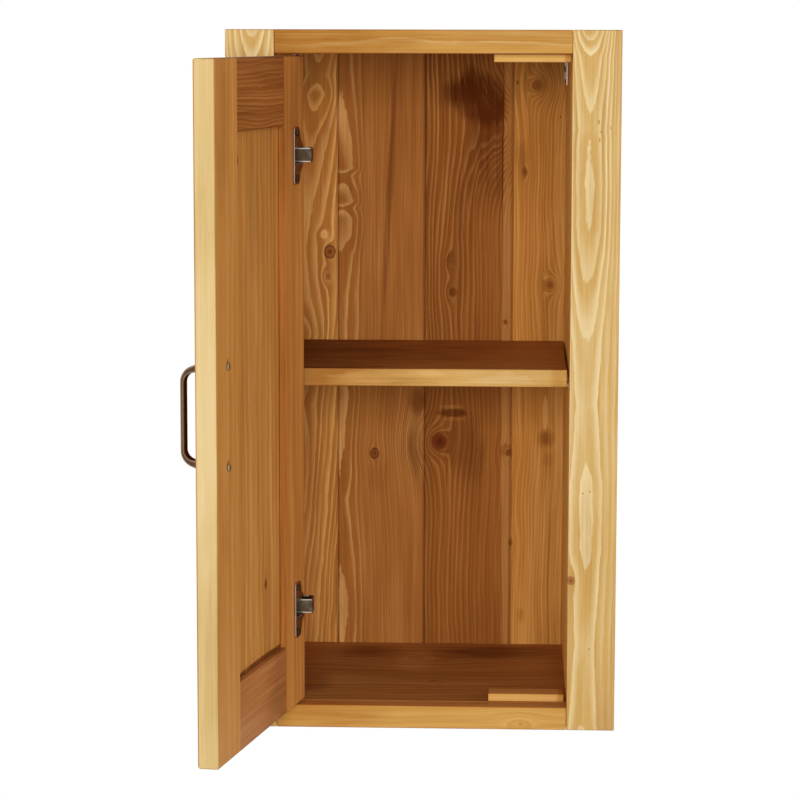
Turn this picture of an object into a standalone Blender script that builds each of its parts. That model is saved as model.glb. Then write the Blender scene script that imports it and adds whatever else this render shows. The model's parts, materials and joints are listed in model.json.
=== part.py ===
"""Kitchen wall cabinet in stained pine: a face-framed carcass with one shelf and an inset door.

Metres, +Z up. The origin is the middle of the rear face, on the wall plane. +Y points into the
wall, and the front faces -Y. The door stands open, turned about its hinge axis.
"""

import math

import bmesh
import bpy
from mathutils import Matrix, Vector

# Overall size
CABINET_WIDTH = 0.400
CABINET_HEIGHT = 0.720
CABINET_DEPTH = 0.310
FIT = 0.0003

# Face frame
FRAME_THICKNESS = 0.022
FRAME_STILE_WIDTH = 0.0495
FRAME_RAIL_HEIGHT = 0.024
FRAME_TENON_LENGTH = 0.020
FRAME_TENON_HEIGHT = 0.014
FRAME_TENON_THICKNESS = 0.008

# Carcass
PANEL_THICKNESS = 0.018
PANEL_REBATE = 0.008
BACK_THICKNESS = 0.012
BACK_BOARD_PITCH = 0.0979
BACK_FIRST_JOINT = -0.0075
BACK_EDGE_LEAST = 0.020
BACK_VEE = 0.0015
BACK_TONGUE_LENGTH = 0.005
BACK_TONGUE_THICKNESS = 0.004

# Shelf and its pins
SHELF_THICKNESS = 0.018
SHELF_TOP = 0.013
SHELF_END_GAP = 0.002
SHELF_DOOR_CLEARANCE = 0.001
SHELF_BACK_GAP = 0.001
SHELF_PIN_RADIUS = 0.0025
SHELF_PIN_SEAT = 0.009
SHELF_PIN_REACH = 0.010
SHELF_PIN_INSET = 0.045
SHELF_PIN_NOSE = 0.00075

# Door
DOOR_THICKNESS = 0.0215
DOOR_GAP = 0.0025
DOOR_HINGE_GAP = 0.0028
DOOR_STILE_WIDTH = 0.0695
DOOR_RAIL_WIDTH = 0.069
DOOR_PANEL_THICKNESS = 0.0085
DOOR_GROOVE_DEPTH = 0.009
DOOR_PANEL_PLAY = 0.0005
DOOR_EDGE_ROUND = 0.004
DOOR_OPEN_ANGLE = 101.6

# Door stops
STOP_LENGTH = 0.079
STOP_HEIGHT = 0.0085
STOP_DEPTH = 0.024
STOP_TOP_END_GAP = 0.0005
STOP_BOTTOM_END_GAP = 0.0025

# Hinges
HINGE_FROM_END = 0.100
AXIS_FROM_EDGE = 0.012
AXIS_FROM_FRONT = 0.0105
CUP_RADIUS = 0.0175
CUP_FROM_EDGE = 0.0205
CUP_DEPTH = 0.0145
CUP_WALL = 0.0008
FLANGE_THICKNESS = 0.0013
FLANGE_HEIGHT = 0.058
FLANGE_END_WIDTH = 0.018
FLANGE_CORNER = 0.004
CUP_SCREW_SPACING = 0.046
CUP_SCREW_SETBACK = 0.008
HINGE_PIN_RADIUS = 0.0015
HINGE_PIN_PLAY = 0.00015
HINGE_PIN_SEAT = 0.004
BARREL_WALL = 0.0009
ARM_HEIGHT = 0.0144
ARM_THICKNESS = 0.003
ARM_PLAY = 0.0006
ARM_BEND = 0.002
HOOK_CLEARANCE = 0.0012
PLATE_THICKNESS = 0.0025
PLATE_LENGTH = 0.034
PLATE_HEIGHT = 0.046
PLATE_SCREW_SPACING = 0.032

# Handle
HANDLE_FROM_EDGE = 0.036
HANDLE_BELOW_MIDDLE = 0.002
HANDLE_SCREW_SPACING = 0.096
HANDLE_PROJECTION = 0.0236
HANDLE_BAR = 0.0038
HANDLE_WIDTH = 0.012
HANDLE_FOOT = 0.0098
HANDLE_LEG_RISE = 0.0093
HANDLE_INNER_RISE = 0.0025
HANDLE_OUTER_BEND = 0.016
HANDLE_INNER_BEND = 0.010
HANDLE_EDGE_ROUND = 0.001
HANDLE_SCREW_BITE = 0.005

# Hanger plates
HANGER_THICKNESS = 0.002
HANGER_LENGTH = 0.060
HANGER_HEIGHT = 0.034
HANGER_DROP = 0.002
HANGER_TONGUE_HEIGHT = 0.022
HANGER_EYE_LENGTH = 0.006
HANGER_EYE_HEIGHT = 0.010
HANGER_SCREW_SPACING = 0.036
HOOK_POCKET_WIDTH = 0.014
HOOK_POCKET_DEPTH = 0.009
HOOK_POCKET_MARGIN = 0.004

# Screws, with the crown and rim of a head as shares of its radius and height
SCREW_CROWN_RADIUS_SHARE = 0.6
SCREW_CROWN_HEIGHT_SHARE = 0.9
SCREW_RIM_HEIGHT_SHARE = 0.4
WOOD_SCREW_RADIUS = 0.00165
WOOD_SCREW_HEAD_RADIUS = 0.0031
WOOD_SCREW_HEAD_HEIGHT = 0.0016
WOOD_SCREW_LENGTH = 0.013
HANDLE_SCREW_RADIUS = 0.002
HANDLE_SCREW_HEAD_RADIUS = 0.0034
HANDLE_SCREW_HEAD_HEIGHT = 0.0018

# Facets of round shapes, and how near points are merged
ROUND_STEPS = 16
CUP_STEPS = 40
ARC_STEPS = 4
BEND_STEPS = 6
EDGE_STEPS = 2
EDGE_LEAST_ANGLE = 40.0
MERGE = 0.000001

# Derived places: opening of the face frame, carcass and closed door
FRONT = -CABINET_DEPTH
FRAME_BACK = FRONT + FRAME_THICKNESS
CARCASS_FRONT = FRAME_BACK + FIT
OPENING_X = CABINET_WIDTH / 2 - FRAME_STILE_WIDTH
OPENING_Z = CABINET_HEIGHT / 2 - FRAME_RAIL_HEIGHT
SIDE_OUTER_X = OPENING_X + PANEL_THICKNESS
CARCASS_Z = OPENING_Z + PANEL_THICKNESS
BACK_FRONT = -BACK_THICKNESS

DOOR_LEFT = -OPENING_X + DOOR_HINGE_GAP
DOOR_RIGHT = OPENING_X - DOOR_GAP
DOOR_Z = OPENING_Z - DOOR_GAP
DOOR_INNER = FRONT + DOOR_THICKNESS
AXIS = Vector((DOOR_LEFT + AXIS_FROM_EDGE, FRONT + AXIS_FROM_FRONT, 0.0))
HINGE_HEIGHTS = (("upper", DOOR_Z - HINGE_FROM_END), ("lower", HINGE_FROM_END - DOOR_Z))

# Hook of the hinge arm, measured from the axis: across (u) and back (v)
POCKET_HALF_HEIGHT = ARM_HEIGHT / 2 + ARM_PLAY
POCKET_HALF_LENGTH = math.sqrt((CUP_RADIUS - CUP_WALL) ** 2 - POCKET_HALF_HEIGHT ** 2)
ARM_REACH = CUP_FROM_EDGE + POCKET_HALF_LENGTH - AXIS_FROM_EDGE - ARM_PLAY
CORNER_SWEEP = math.hypot(AXIS_FROM_EDGE, DOOR_THICKNESS - AXIS_FROM_FRONT)
HOOK_FRONT = CORNER_SWEEP + HOOK_CLEARANCE
SHELF_FRONT = AXIS.y + CORNER_SWEEP + SHELF_DOOR_CLEARANCE
PLATE_X = -OPENING_X + FIT + PLATE_THICKNESS
PLATE_FRONT = AXIS.y + HOOK_FRONT
PLATE_SCREW_Y = PLATE_FRONT + PLATE_LENGTH / 2
HANDLE_Z = -HANDLE_BELOW_MIDDLE

PINE_FRAME = ((0.66, 0.42, 0.14), 0.45, 0.0)
PINE_INSIDE = ((0.36, 0.14, 0.03), 0.5, 0.0)
PINE_DOOR = ((0.48, 0.22, 0.05), 0.45, 0.0)
BRONZE = ((0.10, 0.06, 0.04), 0.4, 0.9)
NICKEL = ((0.30, 0.27, 0.24), 0.3, 1.0)
ZINC = ((0.75, 0.74, 0.72), 0.35, 1.0)


def clear_scene():
    for obj in list(bpy.data.objects):
        bpy.data.objects.remove(obj, do_unlink=True)


def new_collection(name):
    group = bpy.data.collections.new(name)
    bpy.context.scene.collection.children.link(group)
    return group


def new_material(name, finish):
    colour, roughness, metallic = finish
    made = bpy.data.materials.new(name)
    made.use_nodes = True
    shader = made.node_tree.nodes["Principled BSDF"]
    shader.inputs["Base Color"].default_value = (*colour, 1.0)
    shader.inputs["Roughness"].default_value = roughness
    shader.inputs["Metallic"].default_value = metallic
    return made


clear_scene()
PARTS = new_collection("kitchen_wall_cabinet")
CUTTERS = new_collection("cutters")


def place(name, mesh, finish, parent=None, centre=(0.0, 0.0, 0.0)):
    """A part of the cabinet, with its own material."""
    obj = bpy.data.objects.new(name, mesh)
    obj.location = centre
    obj.parent = parent
    mesh.materials.append(new_material(name, finish))
    PARTS.objects.link(obj)
    return obj


def place_tool(mesh, parent=None, centre=(0.0, 0.0, 0.0)):
    """A hidden shape that cuts a part or is joined to it."""
    obj = bpy.data.objects.new("tool", mesh)
    obj.location = centre
    obj.parent = parent
    obj.hide_render = True
    obj.display_type = "WIRE"
    CUTTERS.objects.link(obj)
    return obj


def mesh_from(build):
    """A mesh filled by a function that takes a bmesh."""
    shape = bmesh.new()
    build(shape)
    mesh = bpy.data.meshes.new("shape")
    shape.to_mesh(mesh)
    shape.free()
    return mesh


def box_mesh(size):
    scale = Matrix.Diagonal((*size, 1.0))
    return mesh_from(lambda shape: bmesh.ops.create_cube(shape, size=1.0, matrix=scale))


def middle_and_size(low, high):
    low = Vector(low)
    high = Vector(high)
    return (low + high) / 2, high - low


def board(name, low, high, finish, parent=None):
    centre, size = middle_and_size(low, high)
    return place(name, box_mesh(size), finish, parent, centre)


def box_tool(low, high, parent=None):
    centre, size = middle_and_size(low, high)
    return place_tool(box_mesh(size), parent, centre)


def turned_towards(direction):
    return Vector((0.0, 0.0, 1.0)).rotation_difference(Vector(direction)).to_matrix().to_4x4()


def cylinder_tool(centre, direction, radius, length, parent=None, steps=ROUND_STEPS):
    """A round hole's cutter, centred on a point, along a direction."""
    mesh = mesh_from(
        lambda shape: bmesh.ops.create_cone(
            shape,
            cap_ends=True,
            segments=steps,
            radius1=radius,
            radius2=radius,
            depth=length,
            matrix=turned_towards(direction),
        )
    )
    return place_tool(mesh, parent, centre)


def combine(obj, tool, operation):
    modifier = obj.modifiers.new(operation.lower(), "BOOLEAN")
    modifier.operation = operation
    modifier.solver = "EXACT"
    modifier.object = tool


def cut(obj, tool):
    combine(obj, tool, "DIFFERENCE")


def join(obj, tool):
    combine(obj, tool, "UNION")


def turned(name, profile, finish, parent, centre, direction):
    """A turned piece: its profile runs down its outer side and spins about the direction."""
    mesh = bpy.data.meshes.new(name)
    points = [(radius, 0.0, height) for radius, height in profile]
    mesh.from_pydata(points, [(i, i + 1) for i in range(len(points) - 1)], [])
    obj = place(name, mesh, finish, parent, centre)
    obj.rotation_euler = turned_towards(direction).to_euler()
    screw = obj.modifiers.new("turn", "SCREW")
    screw.steps = ROUND_STEPS
    screw.render_steps = ROUND_STEPS
    screw.use_merge_vertices = True
    screw.merge_threshold = MERGE
    screw.use_smooth_shade = True
    return obj


def screw_profile(head_radius, head_height, radius, length):
    """Domed head above its seat at height 0, plain shank and point below."""
    return (
        (0.0, head_height),
        (head_radius * SCREW_CROWN_RADIUS_SHARE, head_height * SCREW_CROWN_HEIGHT_SHARE),
        (head_radius, head_height * SCREW_RIM_HEIGHT_SHARE),
        (head_radius, 0.0),
        (radius, 0.0),
        (radius, radius - length),
        (0.0, -length),
    )


def wood_screw(name, centre, direction, parent=None, finish=NICKEL):
    """A screw whose head faces along the direction, with its seat at the centre."""
    profile = screw_profile(
        WOOD_SCREW_HEAD_RADIUS, WOOD_SCREW_HEAD_HEIGHT, WOOD_SCREW_RADIUS, WOOD_SCREW_LENGTH
    )
    seat = Vector(centre) + Vector(direction) * FIT
    return turned(name, profile, finish, parent, seat, direction)


def wood_screw_hole(centre, direction, parent=None):
    """Clears a wood screw from above its seat to past its point."""
    overshoot = WOOD_SCREW_HEAD_RADIUS
    middle = Vector(centre) + Vector(direction) * (overshoot - WOOD_SCREW_LENGTH) / 2
    length = WOOD_SCREW_LENGTH + overshoot
    return cylinder_tool(middle, direction, WOOD_SCREW_RADIUS + FIT, length, parent)


def arc(centre, radius, start, end, steps):
    """Points on an arc, from one angle in degrees to another."""
    points = []
    for i in range(steps + 1):
        angle = math.radians(start + (end - start) * i / steps)
        points.append((centre[0] + radius * math.cos(angle), centre[1] + radius * math.sin(angle)))
    return points


def rounded(corners, steps=ARC_STEPS):
    """An outline through corners (x, y, radius), each rounded by an arc of its radius."""
    points = []
    for i, (x, y, radius) in enumerate(corners):
        here = Vector((x, y))
        before = (Vector(corners[i - 1][:2]) - here).normalized()
        after = (Vector(corners[(i + 1) % len(corners)][:2]) - here).normalized()
        if radius == 0.0:
            points.append((x, y))
            continue
        half = before.angle(after) / 2
        centre = here + (before + after).normalized() * radius / math.sin(half)
        start = here + before * radius / math.tan(half) - centre
        end = here + after * radius / math.tan(half) - centre
        turn = start.angle_signed(end)
        for step in range(steps + 1):
            spoke = start.copy()
            spoke.rotate(Matrix.Rotation(-turn * step / steps, 2))
            points.append(tuple(centre + spoke))
    return points


UPRIGHT = Matrix.Identity(4)
ACROSS = Matrix(((0, 0, 1, 0), (1, 0, 0, 0), (0, 1, 0, 0), (0, 0, 0, 1)))


def outline_mesh(loop, depth, lie=UPRIGHT):
    """A flat outline given a depth. UPRIGHT extrudes (x, y) along Z, ACROSS extrudes (y, z) along X."""
    curve = bpy.data.curves.new("outline", "CURVE")
    curve.dimensions = "2D"
    curve.fill_mode = "BOTH"
    curve.extrude = depth / 2
    spline = curve.splines.new("POLY")
    spline.points.add(len(loop) - 1)
    for point, (x, y) in zip(spline.points, loop):
        point.co = (x, y, 0.0, 1.0)
    spline.use_cyclic_u = True
    drawn = bpy.data.objects.new("outline", curve)
    CUTTERS.objects.link(drawn)
    graph = bpy.context.evaluated_depsgraph_get()
    mesh = bpy.data.meshes.new_from_object(drawn.evaluated_get(graph))
    bpy.data.objects.remove(drawn, do_unlink=True)
    mesh.materials.clear()
    shape = bmesh.new()
    shape.from_mesh(mesh)
    bmesh.ops.remove_doubles(shape, verts=shape.verts, dist=MERGE)
    bmesh.ops.recalc_face_normals(shape, faces=shape.faces)
    bmesh.ops.transform(shape, matrix=lie, verts=shape.verts)
    shape.to_mesh(mesh)
    shape.free()
    return mesh


def side_name(sign):
    return "left" if sign < 0 else "right"


def end_name(sign):
    return "bottom" if sign < 0 else "top"


def ordered(a, b):
    return min(a, b), max(a, b)


def make_face_frame():
    """Two full-height stiles, and two rails tenoned between them."""
    stiles = []
    for sign in (-1, 1):
        x_low, x_high = ordered(sign * OPENING_X, sign * CABINET_WIDTH / 2)
        low = (x_low, FRONT, -CABINET_HEIGHT / 2)
        high = (x_high, FRAME_BACK, CABINET_HEIGHT / 2)
        stiles.append(board(f"frame_stile_{side_name(sign)}", low, high, PINE_FRAME))
    for sign in (-1, 1):
        z_low, z_high = ordered(sign * OPENING_Z, sign * CABINET_HEIGHT / 2)
        end = OPENING_X - FIT
        rail = board(
            f"frame_rail_{end_name(sign)}", (-end, FRONT, z_low), (end, FRAME_BACK, z_high), PINE_FRAME
        )
        half = Vector((OPENING_X + FRAME_TENON_LENGTH, FRAME_TENON_THICKNESS / 2, FRAME_TENON_HEIGHT / 2))
        middle = Vector((0.0, (FRONT + FRAME_BACK) / 2, (z_low + z_high) / 2))
        play = Vector((FIT, FIT, FIT))
        join(rail, box_tool(middle - half, middle + half))
        mortise = box_tool(middle - half - play, middle + half + play)
        for stile in stiles:
            cut(stile, mortise)


def make_carcass():
    """Two sides, and a top and a bottom panel let into rebates at their ends."""
    sides = {}
    for sign in (-1, 1):
        x_low, x_high = ordered(sign * OPENING_X, sign * SIDE_OUTER_X)
        side = board(
            f"side_panel_{side_name(sign)}",
            (x_low, CARCASS_FRONT, -CARCASS_Z),
            (x_high, 0.0, CARCASS_Z),
            PINE_INSIDE,
        )
        sides[sign] = side
    for sign in (-1, 1):
        z_low, z_high = ordered(sign * OPENING_Z, sign * CARCASS_Z)
        half = OPENING_X + PANEL_REBATE - FIT
        board(
            f"{end_name(sign)}_panel",
            (-half, CARCASS_FRONT, z_low),
            (half, BACK_FRONT - FIT, z_high),
            PINE_INSIDE,
        )
        shoulder = sign * (OPENING_Z - FIT)
        past = sign * (CARCASS_Z + PANEL_THICKNESS)
        z_low, z_high = ordered(shoulder, past)
        rebate = OPENING_X + PANEL_REBATE
        tool = box_tool((-rebate, FRAME_BACK - PANEL_REBATE, z_low), (rebate, BACK_FRONT, z_high))
        for side in sides.values():
            cut(side, tool)
    return sides


def back_joints():
    """Places across the back where two boards meet, a board's pitch apart."""
    limit = OPENING_X - BACK_EDGE_LEAST
    first = -math.floor((limit + BACK_FIRST_JOINT) / BACK_BOARD_PITCH)
    last = math.floor((limit - BACK_FIRST_JOINT) / BACK_BOARD_PITCH)
    return [BACK_FIRST_JOINT + i * BACK_BOARD_PITCH for i in range(first, last + 1)]


def board_outline(left, right, grooved, tongued):
    """Plan of a back board: groove on its left edge, tongue on its right, V edges at the front."""
    middle = BACK_FRONT / 2
    tongue = BACK_TONGUE_THICKNESS / 2
    groove = tongue + FIT
    points = []
    if grooved:
        bottom = left - FIT / 2 + BACK_TONGUE_LENGTH + FIT
        points += [(left + BACK_VEE, BACK_FRONT)]
    else:
        points += [(left, BACK_FRONT)]
    if tongued:
        tip = right + FIT / 2 + BACK_TONGUE_LENGTH
        points += [(right - BACK_VEE, BACK_FRONT), (right, BACK_FRONT + BACK_VEE)]
        points += [(right, middle - tongue), (tip, middle - tongue)]
        points += [(tip, middle + tongue), (right, middle + tongue), (right, 0.0)]
    else:
        points += [(right, BACK_FRONT), (right, 0.0)]
    points += [(left, 0.0)]
    if grooved:
        points += [(left, middle + groove), (bottom, middle + groove)]
        points += [(bottom, middle - groove), (left, middle - groove), (left, BACK_FRONT + BACK_VEE)]
    return points


def make_back():
    """Upright boards, tongued and grooved, nailed on the rear edges of the top and bottom panels."""
    joints = back_joints()
    edges = [-OPENING_X + FIT / 2, *joints, OPENING_X - FIT / 2]
    boards = []
    for i in range(len(edges) - 1):
        loop = board_outline(
            edges[i] + FIT / 2, edges[i + 1] - FIT / 2, grooved=i > 0, tongued=i < len(joints)
        )
        mesh = outline_mesh(loop, 2 * CARCASS_Z)
        boards.append(place(f"back_board_{i + 1}", mesh, PINE_INSIDE))
    return boards


def make_shelf(sides):
    """A loose shelf on four pins."""
    half = OPENING_X - SHELF_END_GAP
    rear = BACK_FRONT - SHELF_BACK_GAP
    bottom = SHELF_TOP - SHELF_THICKNESS
    board("shelf", (-half, SHELF_FRONT, bottom), (half, rear, SHELF_TOP), PINE_INSIDE)
    pin_z = bottom - FIT - SHELF_PIN_RADIUS
    profile = (
        (0.0, SHELF_PIN_REACH),
        (SHELF_PIN_RADIUS - SHELF_PIN_NOSE, SHELF_PIN_REACH),
        (SHELF_PIN_RADIUS, SHELF_PIN_REACH - SHELF_PIN_NOSE),
        (SHELF_PIN_RADIUS, FIT - SHELF_PIN_SEAT),
        (0.0, FIT - SHELF_PIN_SEAT),
    )
    for sign, side in sides.items():
        for place_name, y in (("front", SHELF_FRONT + SHELF_PIN_INSET), ("rear", rear - SHELF_PIN_INSET)):
            seat = (sign * OPENING_X, y, pin_z)
            name = f"shelf_pin_{side_name(sign)}_{place_name}"
            turned(name, profile, ZINC, None, seat, (-sign, 0.0, 0.0))
            cut(side, cylinder_tool(seat, (1.0, 0.0, 0.0), SHELF_PIN_RADIUS + FIT, 2 * SHELF_PIN_SEAT))


def make_stops():
    """Short blocks at the lock side that the closed door meets."""
    front = DOOR_INNER + FIT
    for sign, gap in ((-1, STOP_BOTTOM_END_GAP), (1, STOP_TOP_END_GAP)):
        seat = OPENING_Z - FIT
        z_low, z_high = ordered(sign * (seat - STOP_HEIGHT), sign * seat)
        right = OPENING_X - gap
        board(
            f"door_stop_{end_name(sign)}",
            (right - STOP_LENGTH, front, z_low),
            (right, front + STOP_DEPTH, z_high),
            PINE_FRAME,
        )


def make_hangers(sides, boards):
    """Steel plates inside the top rear corners. A wall hook enters from behind and holds their eye."""
    top = OPENING_Z - HANGER_DROP
    bottom = top - HANGER_HEIGHT
    tongue_low = (top + bottom - HANGER_TONGUE_HEIGHT) / 2
    tongue_high = tongue_low + HANGER_TONGUE_HEIGHT
    front = BACK_FRONT - FIT - HANGER_LENGTH
    rear = BACK_FRONT - FIT
    eye_y = -HOOK_POCKET_DEPTH / 2
    eye_z = (top + bottom) / 2
    for sign, back in ((-1, boards[0]), (1, boards[-1])):
        face = sign * (OPENING_X - FIT)
        loop = [
            (front, bottom),
            (rear, bottom),
            (rear, tongue_low),
            (-FIT, tongue_low),
            (-FIT, tongue_high),
            (rear, tongue_high),
            (rear, top),
            (front, top),
        ]
        middle = face - sign * HANGER_THICKNESS / 2
        name = f"hanger_plate_{side_name(sign)}"
        plate = place(name, outline_mesh(loop, HANGER_THICKNESS, ACROSS), ZINC, None, (middle, 0, 0))
        eye_half = (2 * HANGER_THICKNESS, HANGER_EYE_LENGTH / 2, HANGER_EYE_HEIGHT / 2)
        eye = Vector((middle, eye_y, eye_z))
        cut(plate, box_tool(eye - Vector(eye_half), eye + Vector(eye_half)))

        slot = sign * (OPENING_X - FIT - HANGER_THICKNESS - FIT)
        past = sign * (OPENING_X + FIT)
        x_low, x_high = ordered(slot, past)
        slot_low = (x_low, 2 * BACK_FRONT, tongue_low - FIT)
        slot_high = (x_high, BACK_THICKNESS, tongue_high + FIT)
        cut(back, box_tool(slot_low, slot_high))
        x_low, x_high = ordered(sign * (OPENING_X - HOOK_POCKET_WIDTH), past)
        cut(
            back,
            box_tool(
                (x_low, -HOOK_POCKET_DEPTH, tongue_low - HOOK_POCKET_MARGIN),
                (x_high, HOOK_POCKET_DEPTH, tongue_high + HOOK_POCKET_MARGIN),
            ),
        )

        out = (-sign, 0.0, 0.0)
        for step, offset in enumerate((-0.5, 0.5)):
            y = (front + rear) / 2 + offset * HANGER_SCREW_SPACING
            spot = (face - sign * HANGER_THICKNESS, y, eye_z)
            wood_screw(f"hanger_screw_{side_name(sign)}_{step + 1}", spot, out, None, ZINC)
            hole = wood_screw_hole(spot, out)
            cut(plate, hole)
            cut(sides[sign], hole)


def arm_outline():
    """Plan of a hinge arm about its axis: barrel, web, hook round the door's edge, and foot."""
    barrel = HINGE_PIN_RADIUS + HINGE_PIN_PLAY + BARREL_WALL
    web = ARM_THICKNESS / 2
    touch = math.degrees(math.asin(web / barrel))
    inner = ARM_REACH - ARM_THICKNESS
    foot = PLATE_X + FIT - AXIS.x
    foot_inner = foot + ARM_THICKNESS
    rear = HOOK_FRONT + ARM_THICKNESS
    end = HOOK_FRONT + PLATE_LENGTH
    bend = ARM_BEND + ARM_THICKNESS
    hook = rounded(
        [
            (inner, web, ARM_BEND),
            (inner, HOOK_FRONT, ARM_BEND),
            (foot, HOOK_FRONT, ARM_THICKNESS / 2),
            (foot, end, 0.0),
            (foot_inner, end, 0.0),
            (foot_inner, rear, ARM_BEND),
            (ARM_REACH, rear, bend),
            (ARM_REACH, -web, ARM_THICKNESS / 2),
            (barrel, -web, 0.0),
        ]
    )
    return hook[:-1] + arc((0.0, 0.0), barrel, -touch, touch - 360.0, ROUND_STEPS)


def flange_outline():
    """Face of a hinge cup: a plate with a straight far edge, drawn in towards the door's edge."""
    far = CUP_FROM_EDGE + CUP_RADIUS - AXIS_FROM_EDGE
    near = far - FLANGE_END_WIDTH
    waist = CUP_FROM_EDGE - CUP_RADIUS / 2 - AXIS_FROM_EDGE
    half = FLANGE_HEIGHT / 2
    return rounded(
        [
            (far, -half, FLANGE_CORNER),
            (far, half, FLANGE_CORNER),
            (near, half, FLANGE_CORNER),
            (waist, CUP_RADIUS / 2, 0.0),
            (waist, -CUP_RADIUS / 2, 0.0),
            (near, -half, FLANGE_CORNER),
        ]
    )


FACING_BACK = Matrix(((1, 0, 0, 0), (0, 0, -1, 0), (0, 1, 0, 0), (0, 0, 0, 1)))


def make_hinge_arms(sides):
    """Mounting plates on the left side, and the arms that they carry."""
    out = (1.0, 0.0, 0.0)
    for level, z in HINGE_HEIGHTS:
        x_low = -OPENING_X + FIT
        plate = board(
            f"hinge_plate_{level}",
            (x_low, PLATE_FRONT, z - PLATE_HEIGHT / 2),
            (PLATE_X, PLATE_FRONT + PLATE_LENGTH, z + PLATE_HEIGHT / 2),
            NICKEL,
        )
        arm = place(
            f"hinge_arm_{level}", outline_mesh(arm_outline(), ARM_HEIGHT), NICKEL, None, (AXIS.x, AXIS.y, z)
        )
        bore = HINGE_PIN_RADIUS + HINGE_PIN_PLAY
        cut(arm, cylinder_tool((AXIS.x, AXIS.y, z), (0.0, 0.0, 1.0), bore, 2 * ARM_HEIGHT))
        for step, offset in enumerate((0.5, -0.5)):
            spot = (PLATE_X, PLATE_SCREW_Y, z + offset * PLATE_SCREW_SPACING)
            wood_screw(f"hinge_plate_screw_{level}_{step + 1}", spot, out)
            hole = wood_screw_hole(spot, out)
            cut(plate, hole)
            cut(sides[-1], hole)
        spot = (PLATE_X + FIT + ARM_THICKNESS, PLATE_SCREW_Y, z)
        wood_screw(f"hinge_arm_screw_{level}", spot, out)
        hole = wood_screw_hole(spot, out)
        for obj in (arm, plate, sides[-1]):
            cut(obj, hole)


def door_axis():
    """The hinge axis, turned to the open pose. Door pieces are placed from it as if closed."""
    axis = bpy.data.objects.new("door_hinge_axis", None)
    axis.location = AXIS
    axis.rotation_euler = (0.0, 0.0, -math.radians(DOOR_OPEN_ANGLE))
    PARTS.objects.link(axis)
    return axis


def make_door(axis):
    """Stiles with a full-length groove, rails with stub tenons in it, and a floating panel."""
    left = DOOR_LEFT - AXIS.x
    right = DOOR_RIGHT - AXIS.x
    front = FRONT - AXIS.y
    inner = DOOR_INNER - AXIS.y
    middle = (front + inner) / 2
    tenon = DOOR_PANEL_THICKNESS / 2
    groove = tenon + FIT
    lips = {}
    stiles = {}
    for name, edge, sign in (("hinge", left, 1), ("lock", right, -1)):
        lip = edge + sign * DOOR_STILE_WIDTH
        bottom = lip - sign * DOOR_GROOVE_DEPTH
        loop = rounded(
            [
                (edge, front, DOOR_EDGE_ROUND),
                (lip, front, 0.0),
                (lip, middle - groove, 0.0),
                (bottom, middle - groove, 0.0),
                (bottom, middle + groove, 0.0),
                (lip, middle + groove, 0.0),
                (lip, inner, 0.0),
                (edge, inner, 0.0),
            ]
        )
        lips[name] = lip
        stiles[name] = place(f"door_stile_{name}", outline_mesh(loop, 2 * DOOR_Z), PINE_DOOR, axis)
    rail_left = lips["hinge"] + FIT
    rail_right = lips["lock"] - FIT
    tenon_reach = DOOR_GROOVE_DEPTH - DOOR_PANEL_PLAY
    for sign in (-1, 1):
        lip = sign * (DOOR_Z - DOOR_RAIL_WIDTH)
        bottom = lip + sign * DOOR_GROOVE_DEPTH
        loop = rounded(
            [
                (front, sign * DOOR_Z, DOOR_EDGE_ROUND),
                (front, lip, 0.0),
                (middle - groove, lip, 0.0),
                (middle - groove, bottom, 0.0),
                (middle + groove, bottom, 0.0),
                (middle + groove, lip, 0.0),
                (inner, lip, 0.0),
                (inner, sign * DOOR_Z, 0.0),
            ]
        )
        centre = ((rail_left + rail_right) / 2, 0.0, 0.0)
        mesh = outline_mesh(loop, rail_right - rail_left, ACROSS)
        rail = place(f"door_rail_{end_name(sign)}", mesh, PINE_DOOR, axis, centre)
        z_low, z_high = ordered(bottom + sign * FIT, sign * DOOR_Z)
        join(
            rail,
            box_tool(
                (lips["hinge"] - tenon_reach, middle - tenon, z_low),
                (lips["lock"] + tenon_reach, middle + tenon, z_high),
                axis,
            ),
        )
    panel_z = DOOR_Z - DOOR_RAIL_WIDTH + tenon_reach
    board(
        "door_panel",
        (lips["hinge"] - tenon_reach, middle - tenon, -panel_z),
        (lips["lock"] + tenon_reach, middle + tenon, panel_z),
        PINE_DOOR,
        axis,
    )
    return stiles


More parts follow.
